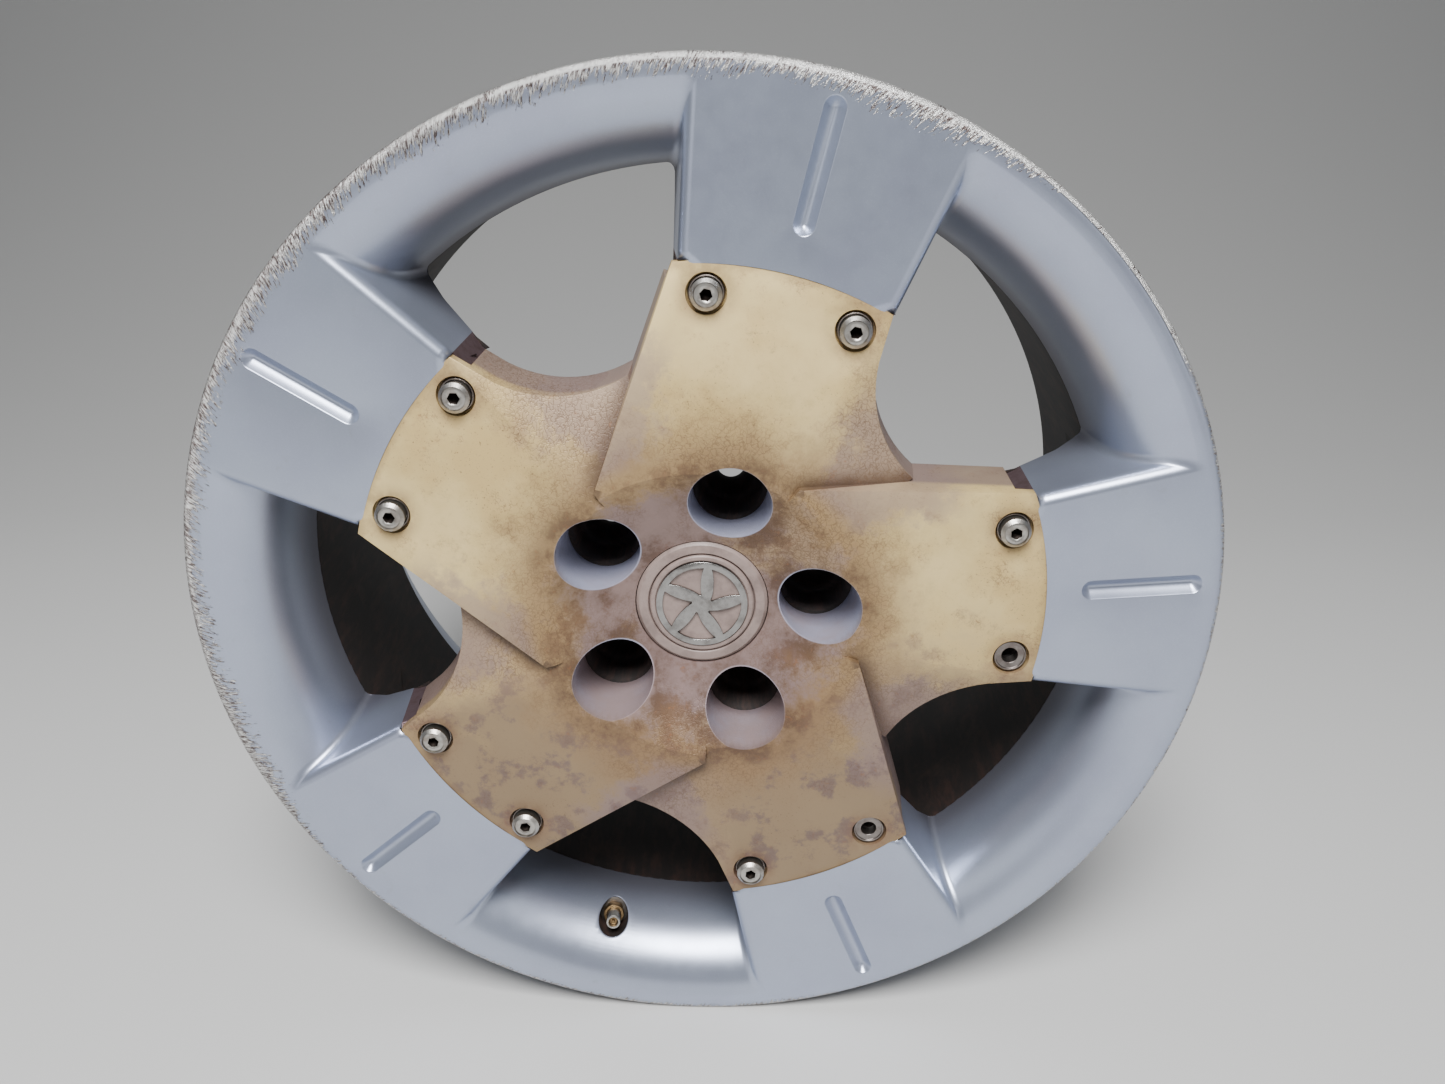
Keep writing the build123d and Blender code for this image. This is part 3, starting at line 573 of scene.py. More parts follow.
def lacquered_casting(sizes, colours):
    """Silver two-coat lacquer on an aluminium casting: satin, faintly blue, scraped bare
    to the metal along the kerb side of the lip."""
    m, place = start_material("silver_lacquer_on_cast_aluminium")
    radius, axle, angle, _ = polar(m, place)
    cloud = node(m, "TexNoise", Vector=place, Scale=1 / (60 * MM), Detail=5, Roughness=0.6)
    grime = node(m, "TexNoise", Vector=place, Scale=1 / (9 * MM), Detail=6, Roughness=0.6)
    flake = node(m, "TexNoise", Vector=place, Scale=1 / (0.7 * MM), Detail=2, Roughness=0.6)
    paint = node(m, "Mix", node(m, "MapRange", cloud, 0.35, 0.75, **SMOOTH), i6=colours.silver,
        i7=linear("#a3a9bd"), **TINT)
    paint = node(m, "Mix",
        node(m, "Math", node(m, "MapRange", flake, 0.5, 0.75, **SMOOTH), 0.12, **TIMES), i6=paint,
        i7=linear("#d5dae6"), **TINT)
    paint = node(m, "Mix",
        node(m, "Math", node(m, "MapRange", grime, 0.62, 0.8, **SMOOTH), 0.2, **TIMES), i6=paint,
        i7=linear("#8d8a88"), **TINT)
    # Brake dust, and painted shade standing in for dark reflections,
    # where the dish runs down into the windows
    dust_and_painted_shade = node(m, "Math", node(m, "MapRange", axle, -0.096, -0.062, **SMOOTH),
        node(m, "MapRange", radius, 0.2128, 0.2118, **SMOOTH), **TIMES)
    paint = node(m, "Mix", node(m, "Math", dust_and_painted_shade, 0.7, **TIMES), i6=paint, i7=linear("#4a4346"),
        **TINT)
    # Kerb scrapes: worst from the left round to the top, with a ragged inner edge
    worst = node(m, "Math", node(m, "MapRange", angle, 0.75, 1.15, **SMOOTH),
        node(m, "MapRange", angle, 4.2, 3.4, **SMOOTH), **TIMES)
    wrap = node(m, "MapRange", angle, -2.35, -2.75, **SMOOTH)
    heavy = node(m, "Math", worst, wrap, operation="MAXIMUM")
    below = node(m, "Math", node(m, "MapRange", angle, -1.1, -1.4, **SMOOTH), 0.5, **TIMES)
    reach = node(m, "Math",
        node(m, "Math", node(m, "Math", heavy, 1.3, **TIMES), below, operation="MAXIMUM"), 0.3,
        operation="MAXIMUM")
    # Coordinates that follow the lip: along it, slanted a little, and across it
    along = node(m, "Math", node(m, "Math", angle, LIP_R * MM, **TIMES),
        node(m, "Math", radius, 0.5, **TIMES), **PLUS)
    swept = node(m, "CombineXYZ", X=along, Y=node(m, "Math", radius, 0.22, **TIMES),
        Z=node(m, "Math", axle, 0.4, **TIMES))
    teeth = node(m, "TexNoise", Vector=swept, Scale=1 / (1.0 * MM), Detail=4, Roughness=0.65)
    ragged = node(m, "TexNoise", Vector=place, Scale=1 / (16 * MM), Detail=5, Roughness=0.7)
    patchy = node(m, "TexNoise", Vector=place, Scale=1 / (45 * MM), Detail=3, Roughness=0.5)
    wide = node(m, "Math", reach, node(m, "Math", node(m, "Math", ragged, 1.8, **TIMES),
        node(m, "Math", patchy, 1.4, **TIMES), **PLUS), **TIMES)
    wide = node(m, "Math", wide, node(m, "Math",
        node(m, "Math", node(m, "MapRange", teeth, 0.4, 0.64, **SMOOTH), 0.9, **TIMES), 0.55,
        **PLUS), **TIMES)
    depth = node(m, "Math", SCRAPE_R * MM, radius, operation="SUBTRACT")
    scraped = node(m, "MapRange",
        node(m, "Math", depth, node(m, "Math", wide, sizes.scrape, **TIMES), operation="SUBTRACT"),
        0.0003, -0.0003, **SMOOTH)
    scraped = node(m, "Math", scraped, node(m, "MapRange", axle, -0.1, -0.104, **SMOOTH), **TIMES)
    edge = node(m, "Math", node(m, "MapRange", depth, 0.0034, 0.0026, **SMOOTH),
        node(m, "Math", node(m, "MapRange", angle, 0.45, 0.6, **SMOOTH),
            node(m, "MapRange", angle, 2.2, 1.9, **SMOOTH), **TIMES), **TIMES)
    edge = node(m, "Math", edge, node(m, "MapRange", axle, -0.1, -0.104, **SMOOTH), **TIMES)
    scraped = node(m, "Math", scraped, edge, operation="MAXIMUM")
    gouge = node(m, "TexNoise", Vector=swept, Scale=1 / (0.8 * MM), Detail=5, Roughness=0.75)
    dents = node(m, "TexNoise", Vector=place, Scale=1 / (9 * MM), Detail=5, Roughness=0.7)
    dirty = node(m, "Math", node(m, "MapRange", gouge, 0.44, 0.56, **SMOOTH),
        node(m, "MapRange", dents, 0.25, 0.45, **SMOOTH), **TIMES)
    dirty = node(m, "Math", dirty, node(m, "Math", 1.0,
        node(m, "Math", edge, node(m, "MapRange", dents, 0.62, 0.5, **SMOOTH), **TIMES),
        operation="SUBTRACT"), **TIMES)
    metal = node(m, "Mix", dirty, i6=colours.bare, i7=colours.scuff, **TINT)
    base = node(m, "Mix", scraped, i6=paint, i7=metal, **TINT)
    rough = node(m, "Math", 0.27, node(m, "Math", grime, 0.1, **TIMES), **PLUS)
    rough = node(m, "Math", rough, node(m, "Math", dust_and_painted_shade, 0.2, **TIMES), **PLUS)
    height = node(m, "Math", node(m, "Math", flake, 0.02, **TIMES),
        node(m, "Math", scraped, node(m, "Math", gouge, 1.1, operation="SUBTRACT"), **TIMES),
        **PLUS)
    return end_material(m, Base_Color=base, Metallic=0.8, Roughness=rough,
        Normal=node(m, "Bump", Height=height, Distance=0.8 * MM), Coat_Weight=0.1,
        Coat_Roughness=0.3)


def dusted_casting(colours):
    """Unpainted inside of the barrel under baked brake dust: brown-black, dull, streaky."""
    m, place = start_material("brake_dusted_cast_aluminium")
    radius, axle, angle, _ = polar(m, place)
    ring = node(m, "CombineXYZ", X=node(m, "Math", angle, 0.2, **TIMES),
        Y=node(m, "Math", axle, 0.25, **TIMES), Z=radius)
    streak = node(m, "TexNoise", Vector=ring, Scale=1 / (7 * MM), Detail=6, Roughness=0.65)
    patch = node(m, "TexNoise", Vector=place, Scale=1 / (45 * MM), Detail=5, Roughness=0.6)
    base = node(m, "Mix", node(m, "MapRange", streak, 0.42, 0.68, **SMOOTH), i6=colours.dust,
        i7=linear("#33211b"), **TINT)
    base = node(m, "Mix",
        node(m, "Math", node(m, "MapRange", patch, 0.56, 0.75, **SMOOTH), 0.6, **TIMES), i6=base,
        i7=linear("#4a352c"), **TINT)
    return end_material(m, Base_Color=base, Metallic=0.1, Roughness=0.7,
        Normal=node(m, "Bump", Height=streak, Distance=0.3 * MM))


def aged_cover(colours):
    """Silver-beige lacquer gone yellow, brown and crazed on a pressure die casting,
    with painted shade on the arms' far flanks and sides and in the creases between arms.
    """
    m, place = start_material("yellowed_lacquer_on_die_cast_cover")
    radius, axle, _, parts = polar(m, place)
    arm = node(m, "UVMap", uv_map="arm")
    arm_parts = node(m, "SeparateXYZ", Vector=arm, out=slice(3))
    u, v = arm_parts[0], arm_parts[1]
    large = node(m, "TexNoise", Vector=place, Scale=1 / (60 * MM), Detail=5, Roughness=0.62)
    medium = node(m, "TexNoise", Vector=place, Scale=1 / (20 * MM), Detail=8, Roughness=0.7)
    fine = node(m, "TexNoise", Vector=place, Scale=1 / (3.0 * MM), Detail=6, Roughness=0.72)
    speck = node(m, "TexNoise", Vector=place, Scale=1 / (1.1 * MM), Detail=4, Roughness=0.7)

    layers = []     # (where, how strongly, tint), laid over the base in turn
    wobble = node(m, "Math", node(m, "Math", medium, 0.5, operation="SUBTRACT"), 0.07, **TIMES)
    base = node(m, "Mix", node(m, "MapRange", large, 0.4, 0.66, **SMOOTH), i6=colours.cream,
        i7=linear("#c4a971"), **TINT)
    layers.append((node(m, "MapRange", medium, 0.5, 0.72, **SMOOTH), 0.5, linear("#b89d70")))
    # Brown towards the middle and on the arms that hang low;
    # painted shade, in tan, on each arm's far flank
    middle = node(m, "MapRange", node(m, "Math", radius, wobble, **PLUS), 0.115, 0.075, **SMOOTH)
    low_side = node(m, "MapRange",
        node(m, "Math", parts[2],
            node(m, "Math", node(m, "Math", large, 0.5, operation="SUBTRACT"), 0.2, **TIMES),
            **PLUS), 0.01, -0.075, **SMOOTH)
    start, slope, offset = FLANK_LINE
    flank = node(m, "Math", node(m, "Math", u, wobble, **PLUS), node(m, "Math",
        node(m, "Math", node(m, "Math", v, start, operation="SUBTRACT"), slope, **TIMES),
        offset, **PLUS), operation="SUBTRACT")
    outer = node(m, "MapRange", radius, 0.078, 0.088, **SMOOTH)
    layers.append((low_side, 0.9, linear("#7d6852")))
    faded = node(m, "Math", low_side, node(m, "MapRange", medium, 0.52, 0.6, **SMOOTH), **TIMES)
    layers.append((faded, 0.6, linear("#6a5d62")))
    layers.append((middle, 0.85, linear("#836748")))
    # Painted shade on each arm's far flank, in tan
    flank_painted_shade = node(m, "Math", node(m, "MapRange", flank, -0.014, 0.016, **SMOOTH), outer, **TIMES)
    layers.append((flank_painted_shade, 0.5, colours.tan))
    # Mauve where the lacquer has worn thin: window edges, the hollow round the cap
    edge = node(m, "Math", node(m, "Math", u, operation="ABSOLUTE"), wobble, **PLUS)
    window_edge = node(m, "Math", node(m, "MapRange", edge, 0.036, 0.05, **SMOOTH),
        node(m, "MapRange", node(m, "Math", v, wobble, **PLUS), 0.135, 0.11, **SMOOTH), **TIMES)
    window_edge = node(m, "Math", window_edge, outer, **TIMES)
    layers.append((window_edge, 0.55, colours.mauve))
    # Painted shade down the cover's sides, in mauve-grey
    side = node(m, "Math", node(m, "MapRange", axle, -0.109, -0.1045, **SMOOTH), outer, **TIMES)
    layers.append((side, 0.8, linear("#7c6a68")))
    hollow = node(m, "MapRange",
        node(m, "Math", radius, node(m, "Math", wobble, 1.4, **TIMES), **PLUS), 0.075, 0.052,
        **SMOOTH)
    layers.append((hollow, 0.75, colours.mauve))
    stain = node(m, "Math", hollow, node(m, "MapRange", large, 0.5, 0.6, **SMOOTH), **TIMES)
    layers.append((stain, 0.6, linear("#a58a5e")))
    burnt = node(m, "Math", node(m, "MapRange", medium, 0.5, 0.62, **SMOOTH),
        node(m, "Math", middle, node(m, "Math", low_side, 0.5, **TIMES), operation="MAXIMUM"),
        **TIMES)
    layers.append((burnt, 0.6, linear("#5f4231")))
    # Pocket walls kept more of their silver
    pocket = node(m, "VectorMath",
        node(m, "VectorMath", arm, (0, LUG_R * MM, 0), operation="SUBTRACT"),
        operation="LENGTH", out=1)
    wall = node(m, "MapRange", pocket, 0.0202, 0.0195, **SMOOTH)
    # Darker brown round the pockets and the screws
    halo = node(m, "Math", node(m, "MapRange", pocket, 0.037, 0.021, **SMOOTH),
        node(m, "MapRange", medium, 0.36, 0.62, **SMOOTH), **TIMES)
    layers.append((halo, 0.65, linear("#493426")))
    lifted = node(m, "CombineXYZ", X=node(m, "Math", u, operation="ABSOLUTE"), Y=v)
    screw = node(m, "VectorMath", lifted,
        (SCREW_R * MM * sin(SCREW_TURN), SCREW_R * MM * cos(SCREW_TURN), 0), operation="DISTANCE",
        out=1)
    ring = node(m, "Math",
        node(m, "MapRange", node(m, "Math", screw, node(m, "Math", wobble, 0.15, **TIMES), **PLUS),
            0.017, 0.009, **SMOOTH), node(m, "MapRange", medium, 0.3, 0.6, **SMOOTH), **TIMES)
    layers.append((ring, 0.5, linear("#6d4c3b")))
    arm_end = node(m, "MapRange",
        node(m, "Math", radius, node(m, "Math", wobble, 0.2, **TIMES), **PLUS), 0.161, 0.166,
        **SMOOTH)
    layers.append((arm_end, 0.5, linear("#8f7550")))
    # Painted shadow in the crease where the next arm's edge stands on this one's flank
    start, slope, offset = STEP_LINE
    step_line = node(m, "Math", v, node(m, "Math",
        node(m, "Math", node(m, "Math", u, start, operation="SUBTRACT"), slope, **TIMES),
        offset, **PLUS), operation="SUBTRACT")
    painted_crease_shadow = node(m, "Math",
        node(m, "MapRange",
            node(m, "Math", step_line, node(m, "Math", wobble, 0.12, **TIMES), **PLUS), 0.012, 0.0,
            **SMOOTH), node(m, "MapRange", step_line, -0.004, -0.002, **SMOOTH), **TIMES)
    painted_crease_shadow = node(m, "Math", painted_crease_shadow, node(m, "MapRange", u, 0.018, 0.034, **SMOOTH), **TIMES)
    layers.append((painted_crease_shadow, 0.8, linear("#46342a")))
    bloom = node(m, "Math", node(m, "MapRange", fine, 0.55, 0.68, **SMOOTH),
        node(m, "MapRange", medium, 0.5, 0.62, **SMOOTH), **TIMES)
    layers.append((bloom, 0.45, colours.rust))
    dots = node(m, "Math", node(m, "MapRange", speck, 0.6, 0.67, **SMOOTH),
        node(m, "MapRange", large, 0.42, 0.6, **SMOOTH), **TIMES)
    layers.append((dots, 0.6, linear("#523b2c")))
    # Crazing, in cells of 2 to 3 mm
    shifted = node(m, "VectorMath", place, node(m, "VectorMath",
        node(m, "TexNoise", Vector=place, Scale=260.0, out=1), operation="SCALE", Scale=0.006),
        operation="ADD")
    cracks = node(m, "TexVoronoi", feature="DISTANCE_TO_EDGE", Vector=shifted, Scale=380.0)
    where = node(m, "Math", node(m, "Math", middle, flank_painted_shade, operation="MAXIMUM"),
        node(m, "MapRange", medium, 0.52, 0.66, **SMOOTH), operation="MAXIMUM")
    crazed = node(m, "Math", node(m, "MapRange", cracks, 0.11, 0.0, **SMOOTH),
        node(m, "Math", where, node(m, "MapRange", large, 0.36, 0.56, **SMOOTH), **TIMES), **TIMES)
    layers.append((crazed, 0.55, linear("#5d452f")))
    low_wall = node(m, "Mix", low_side, i6=linear("#a2a6bd"), i7=linear("#9c8a8c"), **TINT)
    layers.append((wall, 0.85, low_wall))
    for spread, amount, tint in layers:
        base = node(m, "Mix", node(m, "Math", spread, amount, **TIMES), i6=base, i7=tint, **TINT)
    height = node(m, "Math", node(m, "Math", fine, 0.3, **TIMES),
        node(m, "Math", crazed, -0.3, **TIMES), **PLUS)
    rough = node(m, "Math", 0.36, node(m, "Math", medium, 0.26, **TIMES), **PLUS)
    return end_material(m, Base_Color=base, Metallic=0.3, Roughness=rough,
        Normal=node(m, "Bump", Height=height, Distance=0.25 * MM), Coat_Weight=0.12,
        Coat_Roughness=0.35)


def plain_metal(name, tint, dirt, roughness, grain=1.5, amount=0.5):
    """Metal that has stood outdoors: the tint, with dirt in blotches and fine grain."""
    m, place = start_material(name)
    blotch = node(m, "TexNoise", Vector=place, Scale=1 / (6 * MM), Detail=6, Roughness=0.65)
    fine = node(m, "TexNoise", Vector=place, Scale=1 / (grain * MM), Detail=4, Roughness=0.6)
    base = node(m, "Mix",
        node(m, "Math", node(m, "MapRange", blotch, 0.4, 0.7, **SMOOTH), amount, **TIMES), i6=tint,
        i7=dirt, **TINT)
    rough = node(m, "Math", roughness, node(m, "Math", blotch, 0.2, **TIMES), **PLUS)
    return end_material(m, Base_Color=base, Metallic=1.0, Roughness=rough,
        Normal=node(m, "Bump", Height=fine, Distance=0.08 * MM))


def moulded(name, tint, worn, roughness, amount=0.5):
    """Moulded plastic or rubber with a faint grain, faded in patches."""
    m, place = start_material(name)
    blotch = node(m, "TexNoise", Vector=place, Scale=1 / (9 * MM), Detail=6, Roughness=0.65)
    fine = node(m, "TexNoise", Vector=place, Scale=1 / (0.9 * MM), Detail=3, Roughness=0.6)
    base = node(m, "Mix",
        node(m, "Math", node(m, "MapRange", blotch, 0.4, 0.68, **SMOOTH), amount, **TIMES),
        i6=tint, i7=worn, **TINT)
    return end_material(m, Base_Color=base, Roughness=roughness,
        Normal=node(m, "Bump", Height=fine, Distance=0.1 * MM))


# ------------------------------------------------------------------ operators
class WHEEL_OT_rim(bpy.types.Operator):
    """Casting: dish, spokes with grooves, lip, barrel, hub"""
    bl_idname = "wheel.rim"
    bl_label = "Rim"

    def execute(self, context):
        sizes, colours = context.scene.wheel_sizes, context.scene.wheel_colours
        bm = bmesh.new()
        window_grids(bm, sizes)
        bmesh.ops.remove_doubles(bm, verts=bm.verts, dist=1e-6)
        spoke_faces(bm, sizes)
        bmesh.ops.remove_doubles(bm, verts=bm.verts, dist=2e-6)
        barrel(bm)
        valve_seat(bm)
        valve_back(bm)
        bmesh.ops.remove_doubles(bm, verts=bm.verts, dist=2e-6)
        bmesh.ops.recalc_face_normals(bm, faces=bm.faces)
        hub_and_backs(bm)
        for face in bm.faces:
            centre = face.calc_center_median()
            radius, w = hypot(centre.x, centre.z) / MM, -centre.y / MM
            if face.material_index == 0:
                inside = w < INSIDE_W and radius < INSIDE_R
                # The valve's pocket, like the barrel's inside, takes the dark brown-black finish
                pocket = off_valve(centre, -30, 30) < POCKET_DARK_R * MM
                face.material_index = 1 if inside or pocket else 0
        # Painted shade under the cover's edge: the spokes' sides there in dull mauve
        tucked = plain_metal("painted_shade_under_cover", colours.mauve, linear("#57463f"), 0.5)
        finish_piece("rim_casting", bm, [lacquered_casting(sizes, colours),
                                         dusted_casting(colours), tucked],
                     "rim_paint", ["rim"], merge=False, sharp=38)
        return {"FINISHED"}


class WHEEL_OT_cover(bpy.types.Operator):
    """Five-armed cover over the hub"""
    bl_idname = "wheel.cover"
    bl_label = "Cover"

    def execute(self, context):
        sizes, colours = context.scene.wheel_sizes, context.scene.wheel_colours
        bm = node_copy("centre_cover")
        soften(bm, sizes.cover_edge, 20)
        bmesh.ops.triangulate(bm, faces=[f for f in bm.faces if len(f.verts) > 4])
        layer = bm.loops.layers.uv.new("arm")
        for face in bm.faces:
            k = arm_of_face(face)
            a = FIRST_ARM + PITCH * k
            for loop in face.loops:
                x, z = loop.vert.co.x, loop.vert.co.z
                loop[layer].uv = (x * sin(a) - z * cos(a), x * cos(a) + z * sin(a))
        finish_piece("cover_shell", bm, [aged_cover(colours)], "cover_paint",
                     ["centre_cover"], sharp=24)
        return {"FINISHED"}


def arm_of_face(face):
    """The arm that a face of the cover belongs to, told by its slope, or by its place."""
    centre = face.calc_center_median()
    best, arm = -2.0, 0
    for k in range(5):
        a = FIRST_ARM + PITCH * k
        outwards = Vector((cos(a), 0, sin(a)))
        across = Vector((sin(a), 0, -cos(a)))
        up = Vector((0, -1, 0))
        faces = (up + outwards * ARM_SLOPE, up + across * FLANK_SLOPE)
        slope = max(face.normal.dot(f.normalized()) for f in faces)
        near = centre.normalized().dot(outwards)
        score = near * 0.3 + (10 if slope > 0.9995 and near > 0 else 0)
        if score > best:
            best, arm = score, k
    return arm


def bevelled_copies(rows, segments):
    """Copy CAD nodes and round their edges. A row is the node, its piece's name, material,
    slot and edge width in mm, and the body where that isn't the wheel."""
    for node_name, name, material, slot, width, *body in rows:
        bm = node_copy(node_name)
        if width:
            soften(bm, width * MM, 30, segments)
        finish_piece(name, bm, [material], slot, [node_name], *body)


class WHEEL_OT_fasteners(bpy.types.Operator):
    """Collars and hex socket screws of the cover"""
    bl_idname = "wheel.fasteners"
    bl_label = "Cover fasteners"

    def execute(self, context):
        colours = context.scene.wheel_colours
        # Stainless gone dull and brown in patches; greyer zinc on the collars; the sockets
        # are painted near-black
        steel = plain_metal("weathered_stainless_steel", colours.steel, linear("#6b5648"), 0.28)
        plated = plain_metal("zinc_plated_collar", linear("#8f8884"), linear("#4c3d36"), 0.3)
        near_black_socket = plain_metal("near_black_socket_steel", linear("#2a2522"), linear("#15110f"), 0.5)
        for node_name, name, material, slot in (
                ("cover_collars", "screw_collars", plated, "collar_steel"),
                ("cover_screws", "hex_screws", steel, "screw_steel")):
            bm = node_copy(node_name)
            if node_name == "cover_screws":
                tops = [e for e in bm.edges if e.is_manifold and e.calc_face_angle() > 0.5
                        and min(-v.co.y for v in e.verts) > HEAD_W * MM]
                rims = [e for e in tops
                        if all(off_screw(v.co) > HEAD_EDGE_R * MM for v in e.verts)]
                bmesh.ops.bevel(bm, geom=rims, offset=HEAD_ROUND * MM, offset_type="OFFSET",
                                affect="EDGES", segments=4, profile=0.5, material=-1,
                                clamp_overlap=False)
            else:
                soften(bm, 0.3 * MM, 30, 3)
            for face in bm.faces:
                centre = face.calc_center_median()
                inside = (node_name == "cover_screws" and off_screw(centre) < SOCKET_R * MM
                          and -centre.y < SOCKET_W * MM)
                face.material_index = 1 if inside else 0
            finish_piece(name, bm, [material, near_black_socket], slot, [node_name])
        return {"FINISHED"}


def off_screw(point):
    """Distance of a point from the nearest cover screw's axis."""
    best = 1.0
    for k in range(5):
        for side in (-1, 1):
            a = FIRST_ARM + PITCH * k - side * SCREW_TURN
            best = min(best, hypot(point.x - SCREW_R * MM * cos(a),
                                   point.z - SCREW_R * MM * sin(a)))
    return best


class WHEEL_OT_cap(bpy.types.Operator):
    """Clip-in cap with its ring and rosette"""
    bl_idname = "wheel.cap"
    bl_label = "Centre cap"

    def execute(self, context):
        colours = context.scene.wheel_colours
        # ABS bleached to a pinkish grey; chrome that has lost its sparkle; plain spring wire
        shell = moulded("faded_abs_cap", colours.cap, linear("#5e4f4a"), 0.42)
        chrome = plain_metal("dulled_chrome_plate", linear("#9c9a98"), linear("#5d5753"), 0.13)
        wire = plain_metal("spring_wire", linear("#8a8784"), linear("#5b4a3d"), 0.35)
        bevelled_copies((
            ("cap_body", "cap_shell", shell, "cap_plastic", 0.4),
            ("cap_face", "cap_disc", shell, "cap_plastic", 0.3),
            ("cap_emblem", "cap_rosette", chrome, "emblem_chrome", 0.35),
            ("cap_spring_ring", "cap_wire", wire, "spring_steel", 0.0)), 3)
        return {"FINISHED"}


class WHEEL_OT_valve(bpy.types.Operator):
    """Clamp-in valve with its nut, core and pin"""
    bl_idname = "wheel.valve"
    bl_label = "Valve"

    def execute(self, context):
        # Nickel over brass, bright; bare brass gone brown; dull steel; matt black rubber
        nickel = plain_metal("nickel_plated_stem", linear("#c9c6c0"), linear("#7c746c"), 0.2)
        brass = plain_metal("tarnished_brass", linear("#a08663"), linear("#5d4a39"), 0.32)
        steel = plain_metal("dull_washer_steel", linear("#77726d"), linear("#4a403a"), 0.4)
        rubber = moulded("black_nitrile_rubber", linear("#1b1b1c"), linear("#2b2826"), 0.6)
        bevelled_copies((
            ("valve_stem", "stem_tube", nickel, "stem_chrome", 0.35),
            ("valve_nut", "stem_nut", brass, "nut_brass", 0.3),
            ("valve_washer", "stem_washer", steel, "spring_steel", 0.2),
            ("valve_grommet", "stem_grommet", rubber, "seal_rubber", 0.2),
            ("valve_core", "core_tube", brass, "nut_brass", 0.1),
            ("valve_core_seal", "core_seal", rubber, "seal_rubber", 0.1),
            ("valve_pin", "core_pin", brass, "nut_brass", 0.08, "valve_pin"),
            ("valve_spring", "core_spring", steel, "spring_steel", 0.0)), 2)
        return {"FINISHED"}


class WHEEL_OT_sender(bpy.types.Operator):
    """Tyre-pressure sender behind the valve"""
    bl_idname = "wheel.sender"
    bl_label = "Pressure sender"

    def execute(self, context):
        # Matt black glass-filled nylon, green board lacquer, a bright cell can and screw
        nylon = moulded("black_glass_filled_nylon", linear("#202124"), linear("#34322f"), 0.5)
        laminate = moulded("green_circuit_laminate", linear("#1f5a39"), linear("#17402a"), 0.35)
        cell = plain_metal("nickel_cell_can", linear("#bdbab4"), linear("#8c877f"), 0.25)
        steel = plain_metal("sender_screw_steel", linear("#a7a39c"), linear("#6b6259"), 0.3)
        bevelled_copies((
            ("sensor_case", "sender_case", nylon, "sensor_plastic", 0.6),
            ("sensor_lid", "sender_lid", nylon, "sensor_plastic", 0.3),
            ("sensor_board", "sender_board", laminate, "board_plastic", 0.1),
            ("sensor_battery", "sender_cell", cell, "stem_chrome", 0.4),
            ("sensor_screw", "sender_screw", steel, "screw_steel", 0.2)), 2)
        return {"FINISHED"}


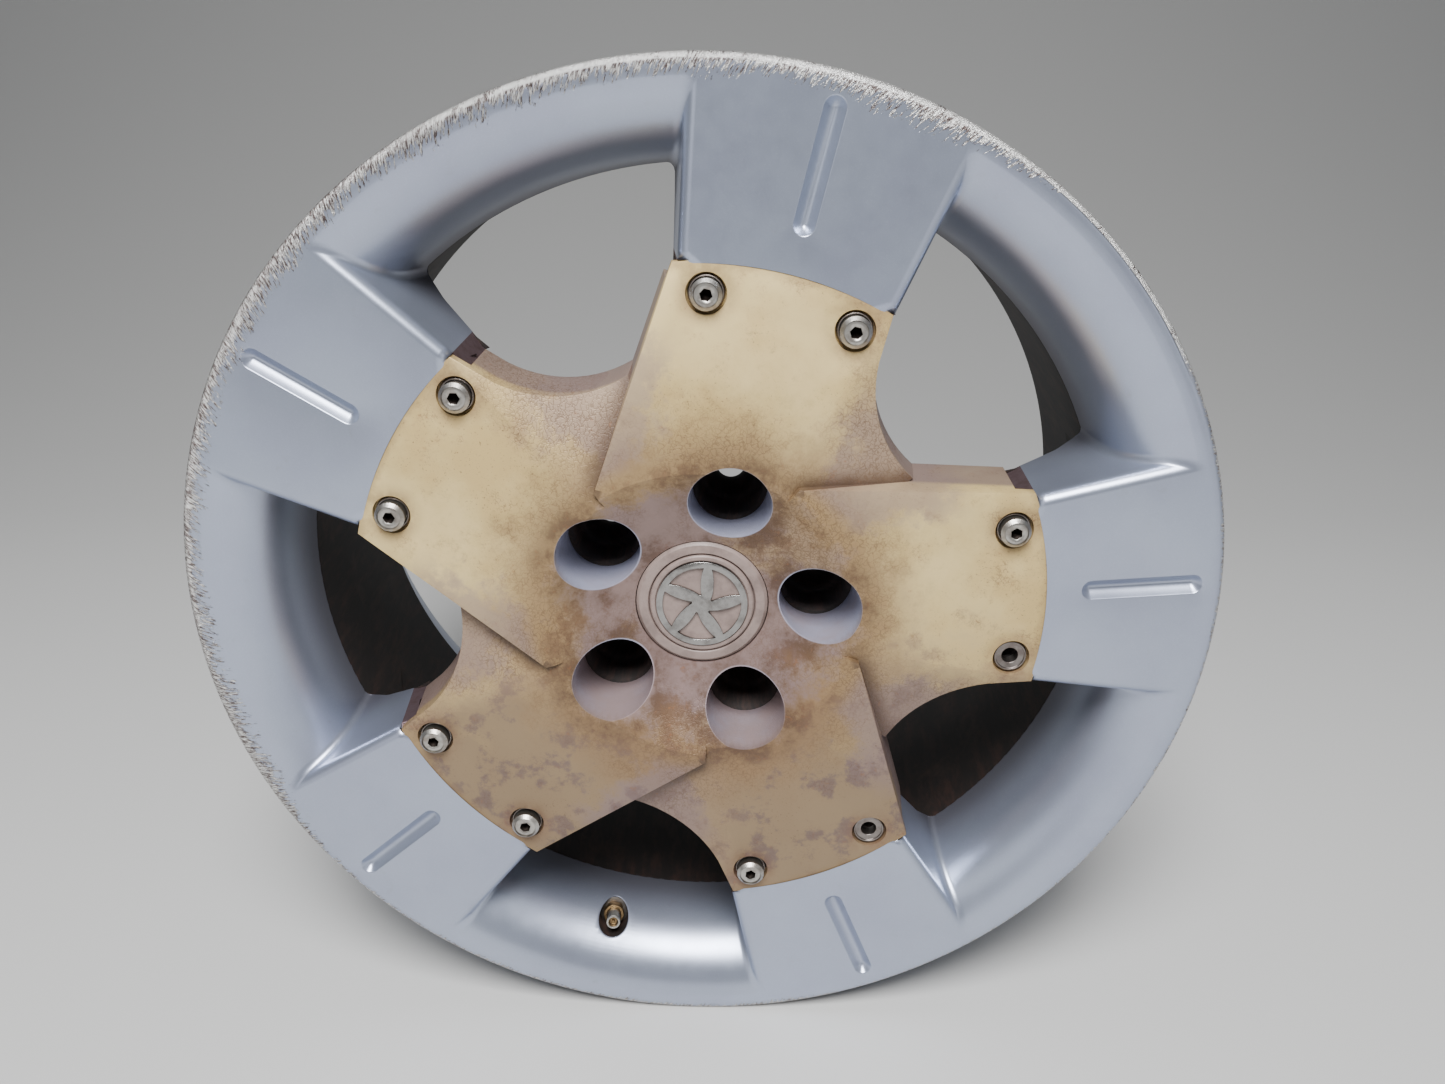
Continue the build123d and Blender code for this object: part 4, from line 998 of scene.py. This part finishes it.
class WHEEL_OT_stage(bpy.types.Operator):
    """Floor, soft lights and camera"""
    bl_idname = "wheel.stage"
    bl_label = "Stage"

    def execute(self, context):
        scene = context.scene
        floor_z = -WHEEL_R * MM
        # Floor that sweeps up behind the wheel
        bm = bmesh.new()
        start, sweep, reach = 0.7, 2.6, 7.0
        profile = [(-reach, 0.0), (start, 0.0)]
        profile += [(start + sweep * sin(radians(a)), sweep * (1 - cos(radians(a))))
                    for a in range(5, 91, 5)] + [(start + sweep, 6.0)]
        edges = open_chain(bm, [(-reach, y, floor_z + z) for y, z in profile])[1]
        made = bmesh.ops.extrude_edge_only(bm, edges=edges)["geom"]
        bmesh.ops.translate(bm, vec=(2 * reach, 0, 0),
                            verts=[g for g in made if isinstance(g, bmesh.types.BMVert)])
        for face in bm.faces:
            face.smooth = True
        mesh = bpy.data.meshes.new("floor")
        bm.to_mesh(mesh)
        bm.free()
        floor = bpy.data.objects.new("floor", mesh)
        scene.collection.objects.link(floor)
        # Matt seamless paper, pale and even
        paper, _ = start_material("pale_studio_floor")
        mesh.materials.append(end_material(paper, Base_Color=linear("#cbcbca"), Roughness=0.75))
        for name, place, aim, size, power in (
                ("overhead", (-0.05, -1.1, 1.45), (0, -0.1, 0), 0.8, 72),
                ("front_left", (-1.5, -1.9, 0.5), (0, -0.1, 0), 1.2, 4),
                ("front_right", (1.6, -1.5, 0.4), (0, -0.1, 0), 1.0, 3)):
            lamp = bpy.data.lights.new(name, "AREA")
            lamp.size = size
            lamp.energy = power
            lit = bpy.data.objects.new(name, lamp)
            lit.location = place
            lit.rotation_euler = (Vector(aim) - Vector(place)).to_track_quat("-Z", "Y").to_euler()
            scene.collection.objects.link(lit)
        world = bpy.data.worlds.new("studio")
        world.use_nodes = True
        world.node_tree.nodes["Background"].inputs[0].default_value = linear("#dfe2e6")
        world.node_tree.nodes["Background"].inputs[1].default_value = 0.15
        scene.world = world
        lens = bpy.data.cameras.new("camera")
        lens.lens = 27.33
        lens.sensor_width = 36
        camera = bpy.data.objects.new("camera", lens)
        camera.location = (0.01744, -0.5923, 0.22997)
        camera.rotation_euler = (radians(68.04), 0, radians(0.853))
        scene.collection.objects.link(camera)
        scene.camera = camera
        return {"FINISHED"}


class WHEEL_PT_panel(bpy.types.Panel):
    """Lists the wheel's pieces, sizes and colours"""
    bl_idname = "WHEEL_PT_panel"
    bl_label = "Wheel"
    bl_space_type = "VIEW_3D"
    bl_region_type = "UI"
    bl_category = "Wheel"

    def draw(self, context):
        for group in (context.scene.wheel_sizes, context.scene.wheel_colours):
            for name in group.__annotations__:
                self.layout.prop(group, name)
        for operator in OPERATORS:
            self.layout.operator(operator.bl_idname)


OPERATORS = (WHEEL_OT_rim, WHEEL_OT_cover, WHEEL_OT_fasteners, WHEEL_OT_cap, WHEEL_OT_valve,
             WHEEL_OT_sender, WHEEL_OT_stage)
CLASSES = (WheelSizes, WheelColours) + OPERATORS + (WHEEL_PT_panel,)


def register():
    for made in CLASSES:
        bpy.utils.register_class(made)
    bpy.types.Scene.wheel_sizes = bpy.props.PointerProperty(type=WheelSizes)
    bpy.types.Scene.wheel_colours = bpy.props.PointerProperty(type=WheelColours)


def unregister():
    del bpy.types.Scene.wheel_colours
    del bpy.types.Scene.wheel_sizes
    for made in reversed(CLASSES):
        bpy.utils.unregister_class(made)


def main():
    register()
    bpy.ops.wheel.rim()
    bpy.ops.wheel.cover()
    bpy.ops.wheel.fasteners()
    bpy.ops.wheel.cap()
    bpy.ops.wheel.valve()
    bpy.ops.wheel.sender()
    bpy.ops.wheel.stage()


if __name__ == "__main__":
    main()
